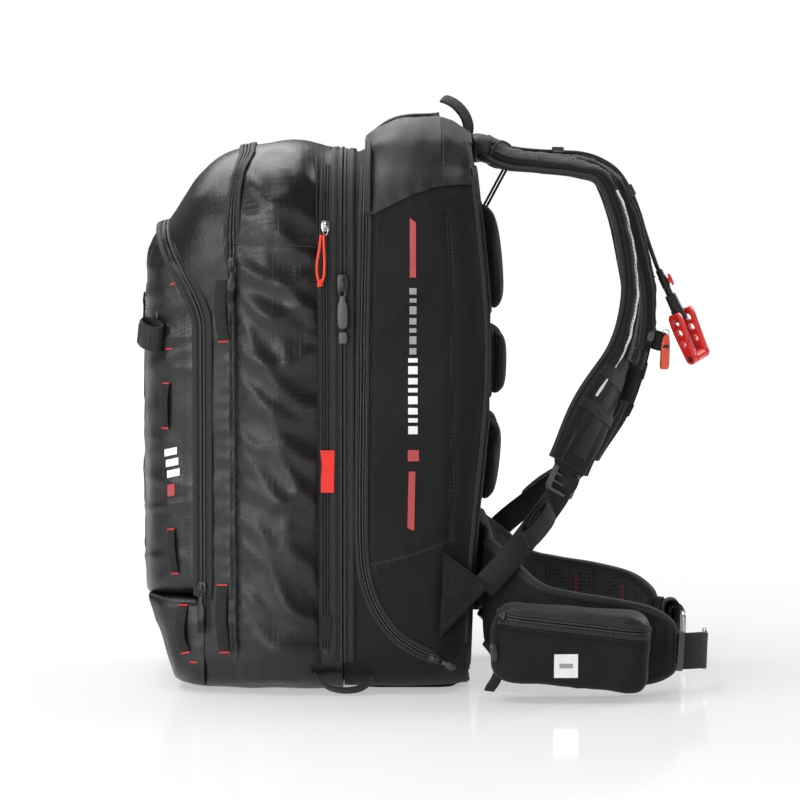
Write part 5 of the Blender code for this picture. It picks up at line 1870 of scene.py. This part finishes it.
# ---------------------------------------------------------------- back, hip belt and pouch
def inflate(pieces, pressure=4.0, cap=0.0045, voxel=0.005):
    """Swells closed forms with cloth pressure, each point kept within the cap and off the pinned back."""
    for made, _ in pieces:
        even = made.modifiers.new("even", "REMESH")
        even.mode, even.voxel_size = "VOXEL", voxel
        flatten(made)
    for made, pinned in pieces:
        group = made.vertex_groups.new(name="pinned")
        group.add([v.index for v in made.data.vertices if pinned(v.co)], 1.0, "REPLACE")
        cloth = made.modifiers.new("cloth", "CLOTH").settings
        cloth.vertex_group_mass = "pinned"
        cloth.use_pressure, cloth.uniform_pressure_force = True, pressure
        cloth.effector_weights.gravity = 0
        cloth.tension_stiffness = cloth.compression_stiffness = 12
    scene = bpy.context.scene
    for step in range(1, 21):
        scene.frame_set(step)
    for made, _ in pieces:
        before = [v.co.copy() for v in made.data.vertices]
        flatten(made)
        for v, rest in zip(made.data.vertices, before):
            move = v.co - rest
            if move.length > cap:
                v.co = rest + move.normalized() * cap
        made.vertex_groups.clear()
    scene.frame_set(1)
    for made, _ in pieces:
        made.data.shade_smooth()
        made.modifiers.new("round", "SUBSURF").render_levels = 1


def pad_form(name, y_low, y_high, z_low, z_high, depth, inset=0.0016):
    """Closed form of one back pad, slightly smaller than the finished pad."""
    pad = Piece(name, "pack", "pad")
    rows = []
    middle = (y_low + y_high) / 2
    for k in range(15):
        share = k / 14
        z = mix(z_low + inset, z_high - inset, share)
        crown = (1 - abs(2 * share - 1) ** 5) ** 0.5
        half = (y_high - y_low) / 2 - inset - 0.010 * (1 - crown)
        deep = depth * mix(0.22, 0.88, crown)
        base = back_x(z) + 0.0004
        flat = super_oval(half, deep / 2, 3.4, 40)
        rows.append([Vector((base + deep / 2 + b, middle + a, z)) for a, b in flat])
    pad.sweep(rows)
    return pad.finish(ride=False)


def make_back():
    """Back panel, six back pads and the lumbar pad, with piping around each."""
    panel = Piece("back_panel_mesh", "pack", "mesh")
    rows = []
    for k in range(53):
        z = mix(0.0205, 0.5175, k / 52)
        x = back_x(z) - 0.0025
        half = 0.1355 - 0.012 * (1 - (1 - max(abs(2 * k / 52 - 1) * 1.06 - 0.06, 0) ** 10) ** 0.5)
        rows.append([Vector((x + b, a, z)) for a, b in super_oval(half, 0.0024, 9, 44)])
    panel.sweep(rows)
    made = panel.finish()
    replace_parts(made, "back_panel")
    groups = {"upper": (0.374, 0.483), "middle": (0.290, 0.358), "lower": (0.184, 0.268)}
    forms = []
    for row, (low, high) in groups.items():
        for hand, sign in SIDES:
            y_low, y_high = sorted((sign * 0.005, sign * 0.112))
            form = pad_form(f"back_pad_{row}_{hand}", y_low, y_high, low, high, 0.018)
            forms.append((form, row))
    lumbar = pad_form("lumbar_pad_cover", -0.098, 0.098, 0.070, 0.168, 0.020)
    forms.append((lumbar, "lumbar"))
    inflate([(form, lambda p: p.x < back_x(p.z) + 0.0028) for form, _ in forms])
    trim = Piece("back_pad_piping", "pack", "binding")
    for form, row in forms:
        form.data.materials.clear()
        form.data.materials.append(LOOK["pad"])
        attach(form, "pack")
        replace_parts(form, "lumbar_pad" if row == "lumbar" else "back_pad_" + row)
        low, high = ((0.070, 0.168) if row == "lumbar" else groups[row])
        ys = [v.co.y for v in form.data.vertices]
        middle, half = (min(ys) + max(ys)) / 2, (max(ys) - min(ys)) / 2
        ring = []
        for a, b in super_oval(half + 0.0006, (high - low) / 2 + 0.0006, 4.2, 60):
            z = (low + high) / 2 + b
            ring.append(Vector((back_x(z) + 0.0012, middle + a, z)))
        ring.append(ring[0])
        trim.rod(ring, (1, 0, 0), disc(0.0013, 6), "binding")
    edge = []
    for a, b in super_oval(0.1350, 0.2480, 8, 120):
        z = 0.269 + b
        edge.append(Vector((back_x(z) - 0.0012, a, z)))
    edge.append(edge[0])
    trim.rod(edge, (1, 0, 0), super_oval(0.0022, 0.0030, 2.4, 10), "binding")
    trim.finish()


HIP_STATIONS = (
    (0.079, 0.118, 0.045, 0.150), (0.100, 0.140, 0.024, 0.133), (0.128, 0.154, 0.015, 0.109),
    (0.162, 0.159, 0.011, 0.100), (0.199, 0.158, 0.010, 0.094), (0.236, 0.150, 0.012, 0.085),
    (0.256, 0.139, 0.018, 0.072), (0.2615, 0.135, 0.027, 0.060),
)
HIP_THICK = 0.015


def hip_at(t, sign):
    """Centre, outward normal, lower and upper edge of the hip wing at a station number."""
    x, y, low, high = at_station(HIP_STATIONS, t)
    step = 0.02
    ahead = min(t + step, len(HIP_STATIONS) - 1)
    before = max(t - step, 0)
    dx, dy = (catmull([s[i] for s in HIP_STATIONS], ahead) - catmull([s[i] for s in HIP_STATIONS], before)
              for i in range(2))
    normal = Vector((-dy * sign, dx, 0)).normalized()
    if normal.y * sign < 0:
        normal = -normal
    return Vector((x, sign * y, 0)), normal, low, high


def hip_line(sign, first, last, height, lift, face=1, step=0.1):
    """Frames along the hip wing at a share of its height, on its outer (1) or inner (-1) face."""
    spots, normals = [], []
    count = round((last - first) / step)
    for k in range(count + 1):
        centre, normal, low, high = hip_at(mix(first, last, k / count), sign)
        spots.append(centre + UP * mix(low, high, height) + normal * face * (HIP_THICK / 2 + lift))
        normals.append(normal * face)
    return frames_by_normal(spots, normals)


def make_hip_wing(hand, sign):
    """Padded hip wing, with mesh cloth and stitches inside."""
    wing = Piece(f"hip_wing_{hand}_pad", "hip_" + hand, "matte")
    rows = []
    for k in range(71):
        centre, normal, low, high = hip_at(k / 10, sign)
        half = (high - low) / 2
        middle = centre + UP * (low + half)
        puff = HIP_THICK / 2 * (1 + 0.05 * sin(k * 0.9)) * mix(1, 0.7, smooth((k - 62) / 9))
        rows.append(lay((middle, normal, UP), super_oval(puff, half, 3.0, 48)))
    wing.sweep(rows, "matte")
    inside = wing.index("mesh")
    for height in (0.0, 1.0):
        spots = []
        for k in range(71):
            centre, normal, low, high = hip_at(k / 10, sign)
            spots.append(centre + UP * (mix(low, high, height) + (0.0022 if height == 0 else -0.0022)))
        wing.rod(spots, UP, super_oval(0.0048, 0.0062, 2.6, 16), "binding")
    made = wing.finish(ride=False)
    stations = [hip_at(k / 4, sign) for k in range(29)]
    for face in made.data.polygons:
        nearest = min(stations, key=lambda station: (station[0].xy - face.center.xy).length)
        if face.normal.dot(nearest[1]) < -0.35 and face.material_index == 0:
            face.material_index = inside
    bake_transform(made)
    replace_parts(made, "hip_wing_" + hand)
    trim = Piece(f"hip_wing_{hand}_stitching", "hip_" + hand, "thread")
    trim.stitches(hip_line(sign, 1.6, 6.4, 0.90, 0.0006, -1, 0.05), 0, 0)
    trim.stitches(hip_line(sign, 1.6, 6.4, 0.10, 0.0006, -1, 0.05), 0, 0)
    for t in (3.5, 4.85):
        centre, normal, low, high = hip_at(t, sign)
        face = centre - normal * (HIP_THICK / 2 + 0.0003)
        line = resample((face + UP * (low + 0.012), face + UP * (high - 0.012)), 0.002)
        for across in (-0.0009, 0.0009):
            trim.stitches([(p, normal.cross(UP), -normal) for p in line], across, 0, look="red_thread")
    trim.finish()
    return made


def pouch_ring(y, grow):
    """The pouch's rounded outline at one distance from the hip wing."""
    corners = ((0.0785, 0.0200), (0.2330, 0.0060), (0.2365, 0.0850), (0.0860, 0.0965))
    middle = Vector((0.158, 0.052))
    rounding = 0.020
    corner_steps, side_steps = 10, 14
    found = []
    for k in range(4):
        before, corner, after = (Vector(corners[(k + j) % 4]) for j in (-1, 0, 1))
        start = (before - corner).normalized() * rounding
        leave = (after - corner).normalized() * rounding
        for step in range(corner_steps):
            t = step / (corner_steps - 1)
            found.append(corner + (1 - t) ** 2 * start + t**2 * leave)
        finish = after + (corner - after).normalized() * rounding
        begin = corner + leave
        for step in range(1, side_steps):
            found.append(begin.lerp(finish, step / side_steps))
    return [Vector((mix(middle.x, p.x, grow), y, mix(middle.y, p.y, grow))) for p in found]


def pouch_zip_z(x):
    """Height of the pouch's zip on its outer face."""
    return 0.0850 - 0.12 * (x - 0.083)


def pouch_relief(points, normals):
    """Soft folds, flat along the zip, with a seam pulled in under it."""
    out = 0.0022 * noise_of(points, 24, 2.0) + 0.0007 * noise_of(points, 80, 5.0)
    out += 0.0022 * folds(points, 10, 26, 64, 3.0) * step_up(-normals[:, 1], 0.0, 0.6)
    out *= 1 - np.exp(-(((points[:, 2] - pouch_zip_z(points[:, 0])) / 0.010) ** 2))
    gap, _ = line_distance(points[:, [0, 2]], ((0.083, 0.0745), (0.236, 0.0560)))
    out -= 0.0013 * np.exp(-((gap / 0.0028) ** 2)) * step_up(-normals[:, 1], 0.2, 0.7)
    return out - 0.0004


def make_pouch():
    """The pouch on the right hip wing."""
    stations = ((-0.1680, 0.972), (-0.1735, 0.990), (-0.182, 1.002), (-0.191, 1.0), (-0.199, 0.985),
                (-0.2045, 0.955), (-0.2083, 0.91), (-0.2105, 0.85), (-0.2120, 0.76))
    piece = Piece("hip_pouch_fabric", "hip_right", "matte")
    rows = []
    for k in range(33):
        t = (len(stations) - 1) * k / 32
        y, grow = at_station(stations, t)
        rows.append(pouch_ring(y, grow))
    for k in range(1, 12):
        share = k / 12
        rows.append([p.lerp(Vector((0.158, p.y, 0.052)), share) + Vector((0, -0.0016 * share, 0))
                     for p in rows[32]])
    piece.sweep(rows, "matte")
    piece.index("hood")
    made = piece.finish(weld=True)
    relief(made, pouch_relief)
    # Cloth above the zip takes the lighter hood cloth: painted top light on the pouch's top.
    for face in made.data.polygons:
        if face.center.z > pouch_zip_z(face.center.x):
            face.material_index = 1
    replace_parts(made, "hip_pouch")
    return made


def make_pouch_trim(pouch):
    """The pouch's zip, its plain label and its tab; returns the frames along the zip."""
    skin_ = Skin(pouch)
    zip_run = skin_.side(((0.0815, 0.0790), (0.0890, 0.0835), (0.110, 0.0815), (0.160, 0.0757),
                          (0.210, 0.0700), (0.2290, 0.0680), (0.2360, 0.0640)), -1, 0.003)
    band = Piece("pouch_zip_band", "hip_right", "tape")
    for hand in (-1, 1):
        zip_half(band, zip_run, hand, 0.0150, 0.0004, 0.0046, 0.0028)
    for edge in (-0.0092, 0.0092):
        band.stitches(zip_run, edge, 0.0006)
    patch(band, skin_, -1, ((0.1409, 0.0482), (0.1640, 0.0482), (0.1640, 0.0251), (0.1409, 0.0251)),
          "white_ink", 0.0005, 0.0005, (8, 8))
    patch(band, skin_, -1, ((0.1460, 0.0390), (0.1590, 0.0390), (0.1590, 0.0345), (0.1460, 0.0345)),
          "grey_ink", 0.0010, 0.0002, (4, 3))
    tab = resample(((0.0900, -0.1860, 0.0300), (0.0850, -0.1885, 0.0190), (0.0805, -0.1875, 0.0120),
                    (0.0790, -0.1850, 0.0085)), 0.002)
    band.rod(tab, (1, 0, 0.1), strip(0.0105, 0.0022), "web")
    band.finish()
    return zip_run


def make_pouch_slider(zip_run):
    """The pouch zip's slider and its moulded cord pull."""
    start = [frame for frame in shifted(zip_run, 0, 0.0014) if frame[0].x > 0.0895][0]
    slider("pouch_zip_slider_body", "pouch_zip", start, ("pouch_zip_slider",), 0.80, pull=0,
           hang=Vector((0, 0, -1)))
    cord = Piece("pouch_zip_pull", "pouch_zip", "web")
    top = start[0] + start[2] * 0.0060
    run = resample((top, top + Vector((-0.0040, -0.0012, -0.008)), top + Vector((-0.0062, -0.0008, -0.020)),
                    top + Vector((-0.0050, -0.0004, -0.030))), 0.002)
    cord.rod(run, (0, 1, 0), super_oval(0.0012, 0.0022, 2.4, 10), "web")
    block(cord, run[-1] + Vector((0.0005, 0, -0.006)), (0.1, 0, -1), (0, -1, 0), (0.018, 0.0072, 0.0036),
          "plastic", 0.8, 0.5)
    cord.finish()


def ring_frame(piece, centre, size, wire, look):
    """A rectangular metal loop with rounded corners, upright and across the belt's end."""
    flat = super_oval(size[0] / 2, size[1] / 2, 5, 40)
    path = [centre + Vector((0, a, b)) for a, b in flat]
    path += path[:2]
    rows = placed(frames_by_side(path, Vector((1, 0, 0))), super_oval(wire[0] / 2, wire[1] / 2, 3, 12))
    piece.sweep(rows[:-2], look, round_trip=True)


def make_belt_webbing():
    """The doubled belt webbing on both sides, with its keepers."""
    near = ((0.2560, -0.1375, 0.0415), (0.2645, -0.131, 0.040), (0.278, -0.123, 0.039),
            (0.290, -0.111, 0.038), (0.2965, -0.098, 0.036))
    far = ((0.2560, 0.1375, 0.0440), (0.2645, 0.131, 0.043), (0.276, 0.123, 0.042), (0.285, 0.110, 0.039),
           (0.2885, 0.096, 0.034))
    for hand, points, sign in (("right", near, -1), ("left", far, 1)):
        belt = Piece(f"belt_webbing_{hand}_strip", "hip_" + hand, "web")
        frames = frames_by_side(resample(points, 0.0025), UP)
        belt.sweep(placed(frames, strip(0.0365, 0.0020)), "web")
        doubled = shifted(frames[2:-1], 0, 0.0025 if sign < 0 else -0.0025)
        belt.sweep(placed(doubled, strip(0.0360, 0.0019)), "web")
        keeper = frames[4:8]
        flat = [(a, b - 0.0012 * sign) for a, b in super_oval(0.0198, 0.0042, 5, 28)]
        rows = placed(keeper, flat)
        belt.sweep(rows, "grey" if hand == "right" else "binding")
        if hand == "left":
            for height, reach in ((0.0, 0.016), (0.004, 0.011)):
                base = Vector((0.2790 + height, 0.1190, 0.038))
                loop = []
                for k in range(25):
                    s, c = sin(2 * pi * k / 24), cos(2 * pi * k / 24)
                    rise = reach * (1 - c) * 0.75
                    loop.append(base + Vector((reach * 0.5 * s * (1 - 0.3 * c), -0.004, rise)))
                belt.rod(loop, (0, 1, 0), strip(0.022, 0.0016), "web")
        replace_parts(belt.finish(), "belt_webbing_" + hand)


def make_belt_buckle():
    """Metal hook and loop on the ends of the belt."""
    hook = Piece("belt_hook", "hip_right", "alloy")
    centre = Vector((0.2975, -0.0790, 0.0360))
    ring_frame(hook, centre + Vector((0, -0.0060, 0)), (0.0120, 0.0385), (0.0042, 0.0034), "alloy")
    bend = ((0, -0.001), (0.0010, 0.0070), (0.0020, 0.0110), (-0.0008, 0.0125), (-0.0024, 0.0085))
    tongue = resample([centre + Vector((x, y, 0)) for x, y in bend], 0.0012)
    hook.rod(tongue, UP, strip(0.0220, 0.0022), "alloy")
    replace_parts(hook.finish(), "belt_buckle_hook")
    loop = Piece("belt_loop", "hip_left", "alloy")
    centre = Vector((0.2885, 0.0730, 0.0340))
    ring_frame(loop, centre, (0.0230, 0.0370), (0.0044, 0.0036), "alloy")
    bar = [centre + Vector((0, 0.0035, z)) for z in (-0.0170, -0.006, 0.006, 0.0170)]
    loop.rod(bar, (1, 0, 0), disc(0.0016, 10), "alloy")
    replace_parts(loop.finish(), "belt_buckle_loop")


def make_sewn_wings():
    """Triangular anchors of the adjuster webbings, with their box stitching."""
    for hand, sign in SIDES:
        wing = Piece(f"harness_anchor_{hand}", "pack", "matte")
        top, tip, low = (Vector((x, 0, z)) for x, z in ((0.0340, 0.1420), (0.0800, 0.1080), (0.0300, 0.0560)))
        rows = []
        for j in range(15):
            share = j / 14
            left = top.lerp(low, share)
            right = top.lerp(tip, share * 2) if share < 0.5 else tip.lerp(low, share * 2 - 1)
            row = []
            for k in range(9):
                p = left.lerp(right, 0.02 + 0.98 * k / 8)
                bulge = 0.1592 + 0.0012 * sin(pi * share)
                row.append(Vector((p.x, sign * bulge, p.z)))
            rows.append(row + [Vector((p.x, p.y - sign * 0.0016, p.z)) for p in row[::-1]])
        wing.sweep(rows, "matte")
        inner = [p * 0.79 + (top + tip + low) * 0.07 for p in (top, tip, low)]
        lines = [(inner[0], inner[1]), (inner[1], inner[2]), (inner[2], inner[0]),
                 (inner[0], (inner[1] + inner[2]) / 2), (inner[2], (inner[0] + inner[1]) / 2),
                 (inner[1], (inner[0] + inner[2]) / 2)]
        for a, b in lines:
            run = [Vector((p.x, sign * 0.1606, p.z)) for p in resample((a, b), 0.003)]
            wing.stitches(frames_by_normal(run, [Vector((0, sign, 0))] * len(run)), 0, 0.0002)
        wing.finish()


# ---------------------------------------------------------------- sliders, inner parts and carried-over nodes
def make_full_slider():
    """The full-length zip's slider."""
    body = Piece("full_zip_slider_body", "full_zip", "plastic")
    place = Vector((-0.0640, -0.1578, 0.405))
    block(body, place + Vector((0, -0.0020, 0)), (0, 0, -1), (0, -1, 0), (0.0165, 0.0112, 0.0040),
          "plastic", 1.2, 0.75)
    arch = [place + Vector((0, -0.0034 - 0.0026 * sin(pi * k / 8), 0.0060 - 0.012 * k / 8)) for k in range(9)]
    body.rod(arch, (1, 0, 0), strip(0.0038, 0.0014), "plastic")
    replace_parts(body.finish(), "full_zip_slider")


def make_full_pull():
    """The large swinging pull of that slider, with a square tab hung below it."""
    pull = Piece("full_zip_pull_tab", "full_zip_pull", "grey")
    top = Vector((-0.0640, -0.1630, 0.3975))
    ring = [top + Vector((0.0030 * sin(2 * pi * k / 18), 0, -0.0015 + 0.0050 * cos(2 * pi * k / 18)))
            for k in range(19)]
    pull.rod(ring, (0, 1, 0), disc(0.0009, 6), "plastic")
    rows = []
    for drop, half, thick in ((0.005, 0.0018, 0.0010), (0.0065, 0.0028, 0.0014), (0.0105, 0.0030, 0.0015),
                              (0.0130, 0.0046, 0.0018), (0.0220, 0.0052, 0.0020), (0.0320, 0.0050, 0.0019),
                              (0.0355, 0.0040, 0.0015), (0.0368, 0.0022, 0.0009)):
        rows.append([top + Vector((a, b, -drop)) for a, b in super_oval(half, thick, 3.2, 20)])
    pull.sweep(rows, "grey")
    square = top + Vector((0.0004, 0.0004, -0.0460))
    block(pull, square, (0, 0, -1), (0, -1, 0), (0.0105, 0.0080, 0.0026), "grey", 0.4, 0.9)
    link = resample((top + Vector((0, 0, -0.036)), square), 0.002)
    pull.rod(link, (1, 0, 0), strip(0.0022, 0.0012), "web")
    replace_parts(pull.finish(), "full_zip_pull")


def make_folded_airbag():
    """The airbag, folded in layers under the burst flap."""
    bag = Piece("airbag_folded_cloth", "pack", "bladder")
    levels = 17
    run = []
    for k in range(levels):
        z = mix(0.3395, 0.5080, k / (levels - 1))
        near, far = (-0.031, 0.021) if k % 2 == 0 else (0.021, -0.031)
        run += [(near, 0, z - 0.001), ((near + far) / 2, 0, z), (far, 0, z + 0.001)]
    frames = frames_by_side(resample(run, 0.003), (0, 1, 0))
    rows = []
    for k, (p, w, n) in enumerate(frames):
        half = 0.1165 + 0.0012 * sin(k * 0.7)
        flat = strip(half * 2, 0.0030, 3)
        rows.append([p + w * a + n * (b + 0.0008 * sin(a * 90 + k * 0.2)) for a, b in flat])
    bag.sweep(rows, "bladder")
    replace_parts(bag.finish(), "airbag_folded")


def make_divider_and_base():
    """The divider behind the full-length zip, and the base cloth."""
    divider = Piece("divider_fabric", "pack", "matte")
    flat = outline(0.1495, 0.0060, 0.5300, counts=(4, 6, 20, 8, 6))
    sheets = [[Vector((ZIP_X + 0.0135 + shift, y, z)) for y, z in flat] for shift in (-0.0005, 0.0005)]
    divider.sweep(sheets, "matte")
    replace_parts(divider.finish(), "divider_panel")
    base = Piece("base_fabric", "pack", "matte")
    rows = []
    for z, grow in ((0.0001, 0.985), (0.0006, 1.0), (0.0018, 1.0), (0.0023, 0.985)):
        rows.append([Vector((a * grow, b * grow, z)) for a, b in super_oval(0.0498, 0.1078, 7, 60)])
    base.sweep(rows, "matte")
    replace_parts(base.finish(), "base_panel")


def plate_piece(name, body, outlines, thick, edge, place, look):
    """A flat plate with holes and rounded edges: the first outline is its edge."""
    shape = bpy.data.curves.new(name, "CURVE")
    shape.dimensions, shape.fill_mode = "2D", "BOTH"
    shape.extrude, shape.bevel_depth, shape.bevel_resolution = thick / 2 - edge, edge, 3
    shape.offset = -edge
    for flat in outlines:
        spline = shape.splines.new("POLY")
        spline.points.add(len(flat) - 1)
        for target, (x, y) in zip(spline.points, flat):
            target.co = (x, y, 0, 1)
        spline.use_cyclic_u = True
    holder = bpy.data.objects.new(name + "_curve", shape)
    bpy.context.scene.collection.objects.link(holder)
    mesh = bpy.data.meshes.new_from_object(holder.evaluated_get(bpy.context.evaluated_depsgraph_get()))
    bpy.data.objects.remove(holder)
    mesh.transform(place)
    mesh.materials.clear()
    mesh.materials.append(LOOK[look])
    set_smooth(mesh, 32)
    made = bpy.data.objects.new(name, mesh)
    bpy.context.scene.collection.objects.link(made)
    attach(made, body)
    return made


def round_hole(x, y, wide, tall, count=22):
    """Outline of an oval hole."""
    return [(x + wide * cos(2 * pi * k / count), y + tall * sin(2 * pi * k / count)) for k in range(count)]


def make_trigger():
    """The folding handle's two wings and the lock button on its guide."""
    up = -TRIGGER_PULL
    rivet = Vector((0.707, 0.707, 0.0))
    rivet = (rivet - rivet.dot(up) * up).normalized()
    swing = rivet.cross(up)
    place = Matrix.Translation(TRIGGER_HUB)
    for column, axis in enumerate((swing, rivet, up)):
        place.col[column].xyz = axis
    length, bow = 0.0500, 0.0030
    edge = [(0.0062 * cos(pi + pi * k / 12), 0.0062 * sin(pi + pi * k / 12)) for k in range(1, 12)]
    for side in (1, -1):
        run = []
        for k in range(19):
            share = k / 18
            half = mix(0.0062, 0.0078, smooth(share * 1.3))
            half *= (1 - max((share - 0.90) / 0.10, 0) ** 2 * 0.35)
            run.append((bow * share * share + side * half, length * share))
        edge += run if side == 1 else run[::-1]
    holes = [round_hole(0, 0, 0.0026, 0.0026), round_hole(0.0004, 0.0165, 0.0024, 0.0040),
             round_hole(0.0010, 0.0290, 0.0037, 0.0037), round_hole(0.0020, 0.0400, 0.0039, 0.0039)]
    for name, hand in (("near", -1), ("far", 1)):
        upright = Matrix(((1, 0, 0, 0), (0, 0, -1, hand * 0.0113), (0, 1, 0, 0), (0, 0, 0, 1)))
        made = plate_piece(f"handle_wing_{name}_plate", "wing_" + name, [edge] + holes, 0.0066, 0.0012,
                           place @ upright, "red")
        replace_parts(made, "handle_wing_" + name)
    button = Piece("lock_button_cap", "lock_button", "red")
    turn = Matrix.Rotation(radians(-48), 4, "Z")
    outward = ((place @ turn).to_3x3() @ Vector((0, 1, 0))).normalized()
    across = outward.cross(up).normalized()
    seat = TRIGGER_HUB + up * 0.0840
    rows = []
    for reach, wide, tall in ((0.0041, 0.0026, 0.0036), (0.0060, 0.0026, 0.0036), (0.0061, 0.0040, 0.0062),
                              (0.0076, 0.0042, 0.0066), (0.0086, 0.0036, 0.0058), (0.0090, 0.0020, 0.0036)):
        rows.append(lay((seat + outward * reach, across, up), super_oval(wide, tall, 2.3, 24)))
    button.sweep(rows, "red")
    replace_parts(button.finish(), "lock_button")


CARRIED = (  # CAD node, look, bevel
    ("frame_sheet", "sheet", 0.0006), ("stay_left", "alloy", 0.0006), ("stay_right", "alloy", 0.0006),
    ("inflator_body", "alloy", 0.0005), ("percussion_head", "alloy", 0.0004), ("head_cap", "alloy", 0.0004),
    ("firing_pin", "steel", 0.0002), ("pin_spring", "steel", 0.0), ("gas_cartridge", "steel", 0.0006),
    ("handle_hub", "red", 0.0005), ("handle_rivet", "chrome", 0.0005), ("pull_wire", "steel", 0.0002),
    ("cable_guide", "plastic", 0.0005), ("ladder_lock_left", "grey", 0.0008),
    ("ladder_lock_right", "grey", 0.0008),
)


def dress_nodes():
    """Looks and rounded edges for the CAD nodes that are shown as they are."""
    for node, look, width in CARRIED:
        made = frame["nodes"][node]
        made.data.materials.clear()
        made.data.materials.append(LOOK[look])
        if width:
            edge = made.modifiers.new("edges", "BEVEL")
            edge.width, edge.segments, edge.limit_method = width, 3, "ANGLE"
            edge.angle_limit = radians(40)
        set_smooth(made.data, 35)


# ---------------------------------------------------------------- all of it
make_stage()
make_side_cord()
front_shell = make_front_shell()
pocket_shell = make_pocket_shell()
toe_shell = make_toe()
airbag_shell = make_airbag_shell()
make_hood(airbag_shell)
front_skin, pocket_skin, toe_skin, pack_skin = (
    Skin(made) for made in (front_shell, pocket_shell, toe_shell, airbag_shell))
make_full_zip(front_skin, pack_skin)
make_pocket_zip()
make_bag_zips(front_skin, pack_skin)
make_front_trim(front_skin, toe_skin)
make_ski_loops(front_skin)
make_side_tab(front_skin)
make_base_loop()
make_pocket_trim(pocket_skin)
make_axe_strap()
make_pack_trim(pack_skin)
make_side_print(pack_skin)
make_flap_tongue()
make_flap_edge()
make_hood_seams()
make_grab_handle()
right_frames = make_strap("right", -1, RIGHT_STRAP)
left_frames = make_strap("left", 1, LEFT_STRAP)
make_cables(left_frames)
for hand, sign, frames in (("right", -1, right_frames), ("left", 1, left_frames)):
    make_yoke(hand, sign)
    make_sternum(hand, sign, frames)
    make_hip_wing(hand, sign)
make_whistle()
make_trigger()
make_back()
make_pouch_slider(make_pouch_trim(make_pouch()))
make_belt_webbing()
make_belt_buckle()
make_sewn_wings()
make_full_slider()
make_full_pull()
make_folded_airbag()
make_divider_and_base()
dress_nodes()
